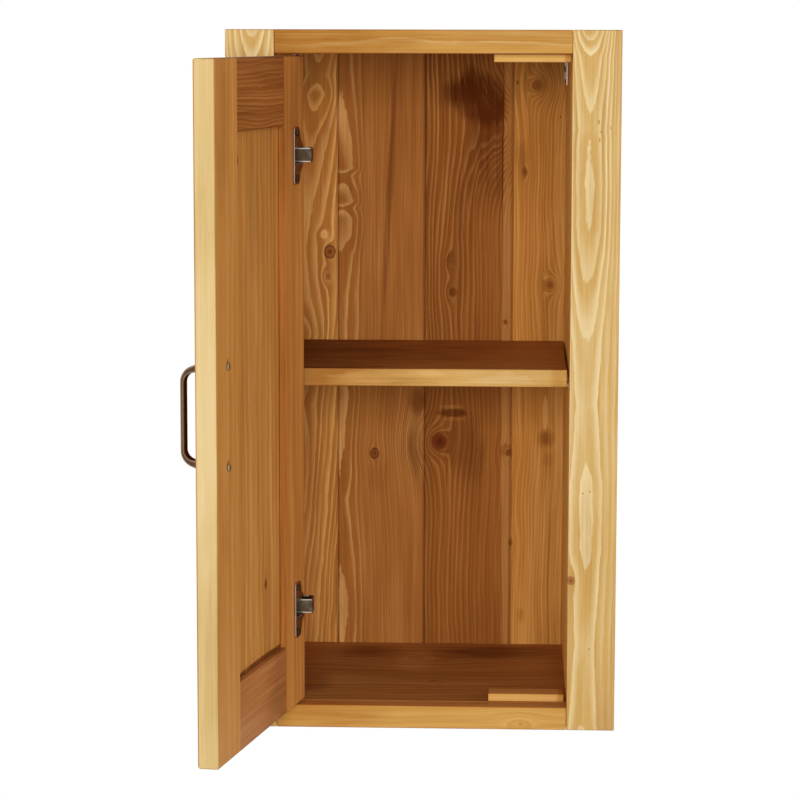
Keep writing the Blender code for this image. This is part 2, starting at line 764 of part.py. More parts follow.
def make_hinge_cups(axis, stile):
    """Cups let into the hinge stile, with the pins that the arms turn on."""
    inner = DOOR_INNER - AXIS.y
    seat = inner + FIT
    cup_x = CUP_FROM_EDGE - AXIS_FROM_EDGE
    pin_half = POCKET_HALF_HEIGHT + HINGE_PIN_SEAT
    for level, z in HINGE_HEIGHTS:
        flange = outline_mesh(flange_outline(), FLANGE_THICKNESS, FACING_BACK)
        cup = place(
            f"hinge_cup_{level}", flange, NICKEL, axis, (0.0, seat + FLANGE_THICKNESS / 2, z)
        )
        top = seat + FLANGE_THICKNESS - FIT
        bottom = inner - CUP_DEPTH
        centre = (cup_x, (top + bottom) / 2, z)
        join(cup, cylinder_tool(centre, (0, 1, 0), CUP_RADIUS, top - bottom, axis, CUP_STEPS))
        pocket_low = (cup_x - POCKET_HALF_LENGTH, bottom + CUP_WALL, z - POCKET_HALF_HEIGHT)
        pocket_high = (cup_x + POCKET_HALF_LENGTH, seat + CUP_DEPTH, z + POCKET_HALF_HEIGHT)
        cut(cup, box_tool(pocket_low, pocket_high, axis))
        pin_hole = HINGE_PIN_RADIUS + HINGE_PIN_PLAY
        cut(cup, cylinder_tool((0, 0, z), (0, 0, 1), pin_hole, 2 * (pin_half + FIT), axis))
        profile = (
            (0.0, pin_half),
            (HINGE_PIN_RADIUS, pin_half),
            (HINGE_PIN_RADIUS, -pin_half),
            (0.0, -pin_half),
        )
        turned(f"hinge_pin_{level}", profile, ZINC, axis, (0.0, 0.0, z), (0, 0, 1))

        bore = cylinder_tool(
            (cup_x, inner, z), (0, 1, 0), CUP_RADIUS + FIT, 2 * (CUP_DEPTH + FIT), axis, CUP_STEPS
        )
        cut(stile, bore)
        for step, offset in enumerate((0.5, -0.5)):
            spot = (cup_x + CUP_SCREW_SETBACK, seat + FLANGE_THICKNESS, z + offset * CUP_SCREW_SPACING)
            wood_screw(f"hinge_cup_screw_{level}_{step + 1}", spot, (0, 1, 0), axis)
            hole = wood_screw_hole(spot, (0, 1, 0), axis)
            cut(cup, hole)
            cut(stile, hole)


def handle_outline():
    """Side view of the bow handle: depth in front of the door, and height from its middle."""
    outer = HANDLE_SCREW_SPACING / 2 + HANDLE_FOOT / 2
    inner = HANDLE_SCREW_SPACING / 2 - HANDLE_FOOT / 2
    face = HANDLE_PROJECTION
    back = HANDLE_PROJECTION - HANDLE_BAR
    return rounded(
        [
            (0.0, outer, 0.0),
            (-face, outer - HANDLE_LEG_RISE, HANDLE_OUTER_BEND),
            (-face, HANDLE_LEG_RISE - outer, HANDLE_OUTER_BEND),
            (0.0, -outer, 0.0),
            (0.0, -inner, 0.0),
            (-back, HANDLE_INNER_RISE - inner, HANDLE_INNER_BEND),
            (-back, inner - HANDLE_INNER_RISE, HANDLE_INNER_BEND),
            (0.0, inner, 0.0),
        ],
        BEND_STEPS,
    )


def make_handle(axis, stile):
    """Bow handle on the lock stile, held by two screws from inside."""
    x = DOOR_RIGHT - HANDLE_FROM_EDGE - AXIS.x
    front = FRONT - AXIS.y
    inner = DOOR_INNER - AXIS.y
    foot = front - FIT
    mesh = outline_mesh(handle_outline(), HANDLE_WIDTH, ACROSS)
    handle = place("handle", mesh, BRONZE, axis, (x, foot, HANDLE_Z))
    bevel = handle.modifiers.new("edges", "BEVEL")
    bevel.width = HANDLE_EDGE_ROUND
    bevel.segments = EDGE_STEPS
    bevel.limit_method = "ANGLE"
    bevel.angle_limit = math.radians(EDGE_LEAST_ANGLE)
    length = inner + FIT - foot + HANDLE_SCREW_BITE
    profile = screw_profile(
        HANDLE_SCREW_HEAD_RADIUS, HANDLE_SCREW_HEAD_HEIGHT, HANDLE_SCREW_RADIUS, length
    )
    for level, sign in (("upper", 1), ("lower", -1)):
        z = HANDLE_Z + sign * HANDLE_SCREW_SPACING / 2
        turned(f"handle_screw_{level}", profile, ZINC, axis, (x, inner + FIT, z), (0, 1, 0))
        low = foot - HANDLE_SCREW_BITE - FIT
        high = inner + DOOR_THICKNESS
        hole_radius = HANDLE_SCREW_RADIUS + FIT
        hole = cylinder_tool((x, (low + high) / 2, z), (0, 1, 0), hole_radius, high - low, axis)
        cut(handle, hole)
        cut(stile, hole)


def main():
    make_face_frame()
    sides = make_carcass()
    boards = make_back()
    make_shelf(sides)
    make_stops()
    make_hangers(sides, boards)
    make_hinge_arms(sides)
    axis = door_axis()
    stiles = make_door(axis)
    make_hinge_cups(axis, stiles["hinge"])
    make_handle(axis, stiles["lock"])


main()
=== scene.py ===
"""Looks of a kitchen wall cabinet in stained pine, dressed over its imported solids.

Metres, +Z up, in the frame of the solids: the rear face lies on the wall plane and the front faces -Y.
Each piece of wood is an eased board with its own rings, knots and stain. Values of grain are in
millimetres from the middle of a board: across its face, through its depth and along its grain.
"""

import json
import math
from collections import namedtuple

import bmesh
import bpy
from bpy.props import FloatProperty, FloatVectorProperty, IntProperty, PointerProperty
from mathutils import Matrix, Vector


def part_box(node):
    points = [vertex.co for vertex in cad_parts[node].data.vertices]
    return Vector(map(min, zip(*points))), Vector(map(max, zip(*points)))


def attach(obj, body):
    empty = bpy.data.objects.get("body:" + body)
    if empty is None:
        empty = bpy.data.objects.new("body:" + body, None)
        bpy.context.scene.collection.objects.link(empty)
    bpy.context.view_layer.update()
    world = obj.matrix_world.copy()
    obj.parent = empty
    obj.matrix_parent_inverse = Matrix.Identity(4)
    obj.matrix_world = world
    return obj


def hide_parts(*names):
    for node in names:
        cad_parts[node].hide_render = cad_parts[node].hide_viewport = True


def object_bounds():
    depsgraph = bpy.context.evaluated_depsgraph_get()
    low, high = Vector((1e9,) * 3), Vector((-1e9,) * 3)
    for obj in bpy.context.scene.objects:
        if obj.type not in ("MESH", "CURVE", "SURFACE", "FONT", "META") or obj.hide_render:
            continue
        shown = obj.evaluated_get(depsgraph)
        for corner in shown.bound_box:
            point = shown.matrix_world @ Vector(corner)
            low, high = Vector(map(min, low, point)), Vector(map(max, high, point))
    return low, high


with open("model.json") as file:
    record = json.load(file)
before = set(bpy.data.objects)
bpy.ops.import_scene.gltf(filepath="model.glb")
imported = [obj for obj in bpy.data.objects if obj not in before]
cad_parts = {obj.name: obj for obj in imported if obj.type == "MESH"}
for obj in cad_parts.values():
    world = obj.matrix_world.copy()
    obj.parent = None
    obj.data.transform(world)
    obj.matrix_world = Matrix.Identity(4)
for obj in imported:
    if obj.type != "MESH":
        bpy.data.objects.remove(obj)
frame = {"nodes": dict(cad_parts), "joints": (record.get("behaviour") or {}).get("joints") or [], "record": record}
CAD_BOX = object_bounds()

bl_info = {
    "name": "Stained Pine Wall Cabinet",
    "version": (1, 0, 0),
    "blender": (4, 5, 0),
    "location": "View3D > Sidebar > Cabinet",
    "description": "Dresses the solids of a pine wall cabinet with eased boards, grain and fittings",
    "category": "Object",
}

MILLIMETRE = 0.001
MERGE = 0.000001
FLAT_ANGLE = math.radians(1.0)
ARRIS_ANGLE = math.radians(40.0)
SLAB_SPARE = 0.00002
ROUND_STEPS = 5
BOW_STEPS = 14
TURN_STEPS = 28
WHITE = (1.0, 1.0, 1.0, 1.0)

# Shares of a screw head's radius and crown that its recess takes, and how far the cutter reaches past it
RECESS_WIDTH = 0.26
RECESS_DEPTH = 0.7
CUTTER_REACH = 1.1
# A face of a hanger plate counts as cut edge where less of its normal than this points sideways
CUT_EDGE = 0.9

# Noise is spread to about -1 to 1, and each seed moves it by this
NOISE_SPAN = 2.6
SEED_SHIFT = (13.7, 7.3, 3.1)

# Lacquer on the wood, and the relief of wood and metal
SATIN = 0.55
WOOD_SPECULAR = 0.05
WOOD_RELIEF = 0.25
METAL_RELIEF = 0.2
RELIEF_DEPTH = 0.0003

# Colour multipliers of outer faces and of the edges of upright frame boards, painted light that makes them
# warmer and brighter where the lamps light them less than the front; of the edges of rails and stops; and how
# marks fade outside
OUTER_PAINTED_LIGHT = (1.24, 1.08, 0.86)
RAIL_EDGE_CAST = (1.0, 0.75, 0.66)
OUTER_CALM = 0.75

# How much each mask pales (or darkens, below 0), roughens and raises the stained wood
SHADE_WEIGHTS = {"Cloud": 0.3, "Streak": 0.42, "Tone": 0.09, "Pore": -0.16, "End": -0.3, "Wear": -0.42}
ROUGH_WEIGHTS = {"Streak": 0.05, "Late": -0.07, "Core": -0.08, "Wear": 0.08}
HEIGHT_WEIGHTS = {"Late": 0.5, "Streak": 0.3, "Pore": -0.5, "Rim": -0.4}
# How much of the wood a knot's core and bark hide, its halo, and the shape and ragged edge of its core
CORE_COVER = 0.85
RIM_COVER = 0.75
KNOT_HALO = 0.3
KNOT_SQUASH = 0.85
KNOT_RAGGED = 0.16
KNOT_RIM = 0.95
KNOT_PITH = 0.9
# Shares of a knot's radius between which its core, its bark and its pith fade in
CORE_FADE = (1.15, 0.6)
RIM_FADE = (0.3, 0.04)
PITH_FADE = (0.6, 0.1)
# How ragged a soft mark's edge is, and how far its fading reaches outwards and inwards
MARK_RAGGED = 0.4
MARK_OUTWARD = 0.25
MARK_INWARD = 0.7
# The part of short sways in a ring's wander, and the shares of a ring's width that it ripples and jags by
RING_SWAY = 0.35
RING_RIPPLE = 0.13
RING_JAG = 0.05
# Shares of a ring where its late wood starts at the earliest, how much later it can, its peak and its drop
RING_START = 0.05
RING_DELAY = 0.45
RING_PEAK = 0.92
RING_DROP = 0.93
# How strong rings are on the whole, how much that changes in patches, and where in the spread they fade
RING_STRENGTH = 0.75
RING_PATCHES = 0.3
SPREAD_START = 0.4
# How much clouds, pits, brushed lines and bright arrises brighten a metal; the bright arrises are rubbed metal
# together with painted glints
CLOUD_TONE = 0.18
PIT_TONE = 0.15
LINE_TONE = 0.12
ARRIS_TONE = 0.8
# Millimetres in from an arris that are darker
ARRIS_BAND_WIDTH = 1.5
# Millimetres from the heart between which its course calms down to its mean
CALM_REACH = (12.0, 40.0)
# Millimetres under a face between which the stain of an edge, an end or an outer face fades in
FACE_SKIN = (1.0, 0.3)

# Metals: colour, colour of bright arrises (rubbed metal with painted glints), roughness, strength of the brushed
# lines and seed
METALS = {
    "plated_nickel": ("nickel", "nickel_worn", 0.3, 0.6, 2.0),
    # The hinge arms and cup screws are dark as a painted reflection, as if mirroring a dim room in front of the
    # cabinet.
    "dark_nickel": ("nickel_dark", "nickel_worn", 0.34, 0.6, 3.0),
    "plated_zinc": ("zinc", "zinc_worn", 0.32, 0.4, 4.0),
    "hanger_steel": ("steel", "steel_worn", 0.2, 0.0, 5.0),
    "dark_bronze": ("bronze", "bronze_worn", 0.38, 0.3, 6.0),
}

# Lamps: place, size, and which of the stage's powers it has
LAMPS = {
    "key": ((0.15, -4.0, 0.55), 1.2, "key"),
    "fill_left": ((-3.4, -1.2, 0.8), 2.0, "fill"),
    "fill_right": ((3.4, -1.2, 0.8), 2.0, "fill"),
    "rear": ((0.0, 3.4, 1.0), 2.4, "rear"),
}
LAMP_TARGET = Vector((0.0, -0.15, 0.0))
SENSOR_WIDTH = 36.0
FLOOR_SHADE = 0.97
FLOOR_ROUGH = 0.7
# Shares of the floor's half width between which it fades into the background
FLOOR_FADE = (0.3, 0.95)

# The door's place: pieces of the door are measured as if it were closed, from its hinge axis
HINGE = frame["joints"][0]
AXIS = Vector(HINGE["pos_m"])
OPEN_ANGLE = math.radians(-HINGE["range_deg"][0])
CARCASS_PLACE = Matrix.Identity(4)
DOOR_PLACE = Matrix.Translation(AXIS) @ Matrix.Rotation(-OPEN_ANGLE, 4, "Z")
BODY_OF = {
    node: body for body, nodes in frame["record"]["behaviour"]["bodies"].items() for node in nodes
}

# How a board lies: its directions across the face, through the depth and along the grain
LIES = {
    "upright": ((1, 0, 0), (0, 1, 0), (0, 0, 1)),
    "level": ((0, 0, 1), (0, -1, 0), (1, 0, 0)),
    "sideways": ((0, 1, 0), (-1, 0, 0), (0, 0, 1)),
    "flat": ((0, 1, 0), (0, 0, 1), (1, 0, 0)),
}

# A knot: its place and radius, how far and how much it lifts the rings, how long it draws them, its tint,
# its bark, and how much it pulls the grain
Knot = namedtuple(
    "Knot", "across along radius reach lift stretch tint bark pull", defaults=(2.0, 0.0, 2.2, 1.0, 1.0, 1.0)
)
# A patch of stain, painted light or painted shade: its place, half sizes, shade (dark below 0), softness and lean
Mark = namedtuple("Mark", "across along width length shade soft lean", defaults=(1.0, 0.0))
# A board's grain: the heart of its rings, their spacing and sway, how pale their late wood is, the stain's
# tone, a colour multiplier that holds the board's own tone together with painted light and shade, how rings
# crowd and fade aside, the share of edge colour (painted shade on the hinge stile's lip, where it is below 0),
# the side that faces out, and how the contrast rises along the board
Grain = namedtuple(
    "Grain",
    "finish lie heart depth ring wander late tone seed cast crowd uneven lean spread far edge outer rise "
    "knots marks",
    defaults=((1.0, 1.0, 1.0), 1000.0, 1.4, 0.0, 1000.0, 1.0, -0.15, 0.0, 0.0, (), ()),
)

# Rings of each board. Depth is that of the heart under the face: one number, or a course of (along, depth)
# pairs where the heart rises and dips.
RIGHT_STILE_COURSE = (
    (360, 13.9), (348, 16.5), (334, 19.8), (275, 23.1), (260, 23.8), (247, 23.0), (205, 22.5), (162, 23.0),
    (103, 26.4), (44, 29.7), (-20, 31.2), (-81, 29.7), (-100, 28.8), (-135, 28.7), (-170, 28.8),
    (-189, 29.7), (-270, 31.3), (-353, 29.7), (-360, 29.2),
)
LEFT_STILE_COURSE = ((360, 10), (335, 15), (300, 22), (200, 17), (60, 27), (-120, 21), (-360, 28))
BOARD_1_COURSE = (
    (360, 6), (310, 14), (288, 9), (240, 16), (170, 22), (60, 20), (20, 14), (-60, 22), (-140, 15),
    (-230, 21), (-300, 14), (-360, 19),
)
BOARD_2_COURSE = (
    (360, 21), (313, 21), (260, 16), (215, 10), (206, 9), (199, 22), (190, 20), (175, 11), (168, 9),
    (162, 21), (150, 11), (130, 13), (110, 21), (60, 24), (0, 24), (-50, 10), (-100, 14), (-140, 18),
    (-168, 22), (-220, 20), (-300, 16), (-360, 21),
)
BOARD_3_COURSE = (
    (360, 20), (300, 24), (236, 30), (170, 20), (90, 14), (0, 18), (-100, 22), (-220, 16), (-360, 22),
)

# Height of the door panel's lowest part in sight, where a dark line is painted as the rail's shadow on it
PANEL_FOOT = -263.5
# The door stops are darker where the lock stile knocks on them
STOP_MARKS = (Mark(0, 37, 10, 5, -0.6),)

BOARDS = {
    "frame_stile_left": Grain("frame", "upright", 2.0, LEFT_STILE_COURSE, 5.2, 5.0, 1.2, 0.0, 3.0, edge=0.2),
    "frame_stile_right": Grain(
        "frame", "upright", -7.5, RIGHT_STILE_COURSE, 3.3, 2.0, 1.3, -0.05, 8.0, uneven=0.0, spread=30.0,
        far=0.6, edge=0.2, rise=0.0007,
        knots=(Knot(-21.5, -202, 3.6, 5.0, 0.5, 2.6, 1.0, 0.6),),
        marks=(
            # Mark(-24.6, 60, ...) is a painted highlight along the stile's inner arris.
            Mark(0, -10, 60, 150, 0.25), Mark(-24.6, 60, 0.9, 330, 0.9, 0.15),
            Mark(2, 268, 0.8, 2.4, -0.8, 0.3), Mark(4, 258, 1.6, 0.8, -0.7, 0.3),
            Mark(3, 250, 0.8, 2.0, -0.8, 0.3), Mark(14, 262, 0.9, 1.6, -0.5, 0.3),
            Mark(-10, -111, 0.8, 1.2, -0.7, 0.3), Mark(-3, -109, 0.8, 1.2, -0.7, 0.3),
            Mark(-2, -274, 0.9, 1.2, -0.8, 0.3),
        ),
    ),
    "frame_rail_top": Grain(
        "frame", "level", -20.0, 24.0, 5.0, 9.0, 0.6, -0.62, 5.0, (1.03, 0.94, 0.76), edge=0.3,
        # These marks are painted shade and light: darker towards the left end, which the open door shades, and
        # paler towards the right.
        marks=(Mark(0, -190, 200, 150, -0.4), Mark(0, 110, 200, 150, 0.22)),
    ),
    "frame_rail_bottom": Grain(
        "frame", "level", 24.0, 20.0, 4.6, 10.0, 0.3, -0.52, 6.0, (1.1, 1.0, 0.79), edge=0.3,
        knots=(Knot(-6, 103, 2.4, 9.0, 2.0, 2.2, 0.3, 0.0),),
        # These marks are painted shade and light: darker towards the left end, which the open door shades, and
        # paler towards the right.
        marks=(Mark(0, -190, 200, 140, -0.24), Mark(0, 40, 200, 120, 0.16)),
    ),
    "door_stop_top": Grain(
        "frame", "level", 10.0, 12.0, 2.4, 4.0, 0.4, -0.1, 7.0, (1.25, 1.21, 1.03), edge=0.0,
        marks=STOP_MARKS,
    ),
    "door_stop_bottom": Grain(
        "frame", "level", -12.0, 10.0, 2.2, 4.0, 0.4, -0.16, 9.0, (1.16, 1.04, 0.88), edge=0.0,
        marks=STOP_MARKS,
    ),
    "side_panel_left": Grain(
        "inside", "sideways", 40.0, 28.0, 4.4, 10.0, 0.6, 0.3, 11.0, (1.7, 2.2, 2.2), outer=1.0,
    ),
    # Its inner face is made far paler by its colour multiplier: painted light, because the lamps barely reach it
    # past the open door.
    "side_panel_right": Grain(
        "inside", "sideways", -30.0, 25.0, 4.6, 10.0, 0.6, 0.3, 12.0, (2.5, 4.4, 5.2), outer=-1.0,
        knots=(Knot(40, 120, 5.0, 7.0, 1.0),),
    ),
    "top_panel": Grain("inside", "flat", 30.0, 30.0, 4.2, 12.0, 0.6, 0.0, 13.0, outer=1.0),
    "bottom_panel": Grain(
        "inside", "flat", -10.0, 18.0, 7.0, 14.0, 0.35, -0.1, 14.0, (1.05, 1.2, 1.4), outer=-1.0,
        knots=(Knot(60, -10, 6.0, 26.0, 4.4, 1.3, 0.35, 0.3), Knot(-40, 10, 3.0, 12.0, 2.0, 1.6, 0.6)),
        marks=(
            Mark(95, 70, 36, 70, -0.6), Mark(95, -70, 40, 40, -0.5), Mark(-60, -120, 50, 26, -0.5),
            Mark(50, -14, 70, 26, 0.3),
        ),
    ),
    "shelf": Grain(
        "inside", "flat", 35.0, 22.0, 4.4, 12.0, 0.5, 0.0, 15.0, (1.06, 1.09, 1.15), edge=0.9,
        knots=(Knot(60, 30, 6.0, 8.0, 1.2, 1.6, 0.5),),
        marks=(
            # The first and last marks are painted shade: darker towards the left, where the open door shades the
            # shelf.
            Mark(0, -190, 400, 230, -0.8), Mark(-140, 140, 30, 9, -0.35), Mark(-135, -175, 10, 120, -0.42),
        ),
    ),
    # Its colour multiplier makes it paler: partly painted light against the shade of the open door and the left
    # side.
    "back_board_1": Grain(
        "inside", "upright", -24.0, BOARD_1_COURSE, 5.4, 9.0, 1.1, 0.08, 16.0, (1.42, 1.68, 1.68), lean=0.06,
        rise=0.0008,
        knots=(
            Knot(11, 112, 6.0, 8.0, 1.4, 1.4),
            Knot(5, 132, 0.1, 6.0, 1.0, 1.3, 0.0),
            Knot(9, 84, 0.1, 7.0, 1.5, 1.6, 0.0),
            Knot(22, -236, 2.0, 4.0),
        ),
        marks=(Mark(5, 132, 3.6, 5.5, 0.7, 0.3), Mark(9, 86, 5, 9, -0.3), Mark(0, -240, 90, 160, -0.12)),
    ),
    "back_board_2": Grain(
        "inside", "upright", -50.0, BOARD_2_COURSE, 32.0, 4.0, 1.6, -0.06, 17.0, (1.05, 1.14, 1.14),
        crowd=21.0, spread=34.0, far=0.16,
        knots=(Knot(-10, -117, 4.8, 6.0, 0.8, 1.3), Knot(57, -104, 0.1, 24.0, 6.5, 1.1, 0.0)),
        marks=(
            Mark(6, 170, 4.0, 190, -0.4, 0.7, 0.053),
            Mark(0, 250, 90, 120, -0.05),
            Mark(38, -57, 10.0, 20, -0.6),
            Mark(36, -110, 15.0, 36, -0.35),
            Mark(-6, -140, 12.0, 26, -0.2),
        ),
    ),
    "back_board_3": Grain(
        "inside", "upright", -115.0, BOARD_3_COURSE, 4.6, 7.0, 1.05, -0.1, 18.0, (0.79, 0.755, 0.67),
        far=0.5, spread=190.0, rise=0.0011,
        knots=(
            Knot(-34, -103, 10.0, 18.0, 4.6, 1.1, 0.8, 0.0),
            Knot(40, 250, 0.1, 44.0, -10.0, 1.5, 0.0, 1.0, 0.0),
            Knot(40, -115, 3.6, 8.0, 2.4, 1.1, 0.6, 0.1),
            Knot(48, -218, 3.6, 7.0, 1.0, 1.3, 0.9, 0.3),
            Knot(-22, 101, 3.2, 7.0, 1.2, 1.8, 0.25, 0.2),
            Knot(-21, 67, 3.2, 7.0, 1.2, 1.8, 0.25, 0.2),
            Knot(37, 34, 2.2, 4.0, 0.5, 1.6, 0.7, 0.7),
        ),
        marks=(
            Mark(9, 285, 38, 34, -0.55, 0.55, -0.25),
            Mark(-14, 291, 26, 17, -0.22, 0.9),
            Mark(41, -112, 7, 8, -0.55, 0.8),
            Mark(48, -219, 3.4, 4.6, -0.8, 0.6),
            Mark(35.4, 190, 0.8, 170, -0.35, 0.4),
            Mark(26, 220, 26, 70, -0.3),
            Mark(0, 240, 90, 150, -0.14),
            Mark(-19, -70, 19, 5, -0.6, 0.6),
            Mark(-21, -63, 15, 2.4, 0.45, 0.5),
            Mark(-18, -77, 14, 2.2, 0.3, 0.5),
            Mark(-34, -102, 11, 10, -0.7, 1.0),
            Mark(-22, 103, 6, 11, -0.35),
            Mark(-21, 69, 6, 11, -0.35),
            Mark(-6, -112, 26, 40, -0.32),
            Mark(42.6, 20, 7.4, 430, 0.62, 0.22),
        ),
    ),
    # Its colour multiplier makes it paler: partly painted light against the shade of the right side beside it.
    "back_board_4": Grain(
        "inside", "upright", 70.0, 22.0, 3.6, 6.0, 0.6, 0.08, 19.0, (1.34, 1.6, 1.48), far=0.6, spread=90.0,
        knots=(
            Knot(-3, 299, 5.0, 16.0, 5.0, 1.0, 0.5, 0.5),
            Knot(14, 76, 3.6, 10.0, 3.4, 1.2, 0.6, 0.4),
            Knot(-35, -115, 4.2, 9.0, 2.4, 1.6, 0.75, 0.2),
            Knot(-31, -218, 3.6, 7.0, 1.0, 1.6, 0.9, 0.6),
            Knot(-16, 202, 1.8, 5.0, 1.2, 1.6, 0.6, 0.5),
        ),
        marks=(
            Mark(-10, 250, 60, 150, -0.16),
            Mark(10, -98, 10, 12, -0.6, 0.9), Mark(13, -122, 8, 10, -0.22, 0.9),
            Mark(9, -70, 3.2, 22, 0.6, 0.4), Mark(32, 0, 18, 420, 0.45),
            Mark(-3, 299, 12, 10, -0.28), Mark(12, 76, 7, 6, -0.3), Mark(-16, 203, 5, 6, -0.25),
            Mark(-20, 221, 10, 17, -0.25), Mark(-33, -114, 6, 14, -0.45), Mark(-34, -219, 3, 4.6, -0.7, 0.6),
            Mark(-25, 302, 1.6, 2.4, -0.6, 0.5), Mark(23, 264, 1.0, 1.4, -0.7, 0.5),
            Mark(-17, -302, 5, 9, -0.3),
        ),
    ),
    # Its edge share below 0 darkens its narrow edges: painted shade on the lip, which sits in a recess by the
    # hinges.
    "door_stile_hinge": Grain(
        "door", "upright", 30.0, 30.0, 9.0, 8.0, 0.5, -0.05, 20.0, (1.01, 0.96, 0.99), edge=-0.4, outer=-1.0,
        marks=(Mark(0, 300, 90, 110, -0.3),),
    ),
    "door_stile_lock": Grain(
        "door", "upright", 16.0, 24.0, 11.0, 8.0, 0.5, 0.0, 21.0, edge=0.9, outer=-1.0,
        marks=(
            Mark(6, 260, 26, 90, -0.22), Mark(35, 280, 4, 90, 0.2), Mark(35, 20, 4, 160, 0.5),
            Mark(35, -260, 4, 120, -0.14), Mark(0, -300, 80, 170, 0.2),
            # These two marks are painted shade: a dark disc round each handle screw for the shade of a counterbore
            # that is not modelled.
            Mark(-1.3, 48.5, 4.4, 5.6, -0.55, 0.35), Mark(-1.3, -47.5, 4.4, 5.6, -0.55, 0.35),
        ),
    ),
    "door_rail_top": Grain(
        "door", "level", 60.0, 24.0, 4.0, 6.0, 1.6, -0.3, 22.0, (0.63, 0.48, 0.45), outer=1.0,
    ),
    "door_rail_bottom": Grain(
        "door", "level", -70.0, 40.0, 7.0, 9.0, 0.12, -0.15, 23.0, (0.88, 0.85, 1.24), outer=1.0,
        # These marks are painted light and shade: darker at the hinge end, and a painted sheen in the middle.
        marks=(Mark(0, -70, 60, 60, -0.4), Mark(0, 30, 60, 40, 0.12)),
    ),
    "door_panel": Grain(
        "door", "upright", 10.0, 36.0, 9.0, 8.0, 0.85, -0.085, 24.0, outer=-1.0, rise=-0.0007,
        knots=(Knot(-30, -190, 3.5, 6.0, 0.8), Knot(58, 236, 3.0, 5.0, 0.6)),
        # Mark(0, PANEL_FOOT, ...) is a painted shadow of the rail along the panel's foot.
        marks=(Mark(0, 250, 90, 130, -0.2), Mark(0, PANEL_FOOT, 90, 3.6, -1.0, 0.35)),
    ),
}


def length_value(name, description, default):
    return FloatProperty(name=name, description=description, default=default, unit="LENGTH")


def angle_value(name, description, degrees):
    return FloatProperty(name=name, description=description, default=math.radians(degrees), subtype="ANGLE")


class CabinetSizes(bpy.types.PropertyGroup):
    """Sizes of the dressing: how far arrises are eased, and the forms of the fittings."""

    board_ease: length_value(
        "Board Ease", "Radius taken off the arrises of frame and carcass boards", 0.0009
    )
    back_ease: length_value("Back Board Ease", "Radius taken off the arrises of the back boards", 0.0004)
    door_ease: length_value(
        "Door Ease", "Radius taken off the arrises of stiles, rails and panel of the door", 0.0012
    )
    corner_round: length_value("Corner Round", "Radius of the door's corners at the hinge side", 0.004)
    rim_round: length_value("Rim Round", "Radius round the door's outer face", 0.0038)
    metal_ease: length_value("Metal Ease", "Radius taken off the edges of pressed fittings", 0.0004)
    arm_ease: length_value("Arm Ease", "Radius rolled on the edges of the hinge arms", 0.0011)
    ease_steps: IntProperty(
        name="Ease Steps", description="Facets across an eased arris", default=3, min=1
    )
    shortest_arris: length_value(
        "Shortest Arris", "Edges shorter than this, such as the rims of screw holes, stay as cut", 0.004
    )
    handle_bar: length_value("Handle Bar", "Thickness of the handle's bar", 0.0038)
    handle_foot: length_value("Handle Foot", "Height of a foot on the door", 0.0098)
    handle_leg_rise: length_value("Leg Rise", "How far the outer bend is drawn in", 0.0093)
    handle_inner_rise: length_value("Inner Rise", "How far the inner bend is drawn in", 0.0025)
    handle_outer_bend: length_value("Outer Bend", "Radius of the bow's outer bends", 0.016)
    handle_inner_bend: length_value("Inner Bend", "Radius of the bow's inner bends", 0.010)
    handle_ease: length_value("Handle Ease", "Radius of the bow's rounded edges", 0.0014)
    screw_head: length_value("Screw Head", "Radius of a wood screw's head", 0.0031)
    screw_crown: length_value("Screw Crown", "Height of a wood screw's head", 0.0016)
    flush_crown: length_value("Flush Crown", "Height of a hanger screw's head", 0.0004)
    screw_shank: length_value("Screw Shank", "Radius of a wood screw's shank", 0.00165)
    screw_length: length_value("Screw Length", "Length of a wood screw's shank", 0.012)
    handle_screw_head: length_value("Handle Screw Head", "Radius of a handle screw's head", 0.0036)
    pin_radius: length_value("Pin Radius", "Radius of a shelf pin", 0.0025)
    pin_collar: length_value("Pin Collar", "Radius of a shelf pin's collar", 0.0036)
    pin_reach: length_value("Pin Reach", "How far a shelf pin stands out", 0.010)
    pin_seat: length_value("Pin Seat", "How deep a shelf pin sits in its hole", 0.0085)


def colour_value(name, description, default):
    return FloatVectorProperty(
        name=name, description=description, default=default, subtype="COLOR", size=3, min=0.0, max=1.0
    )


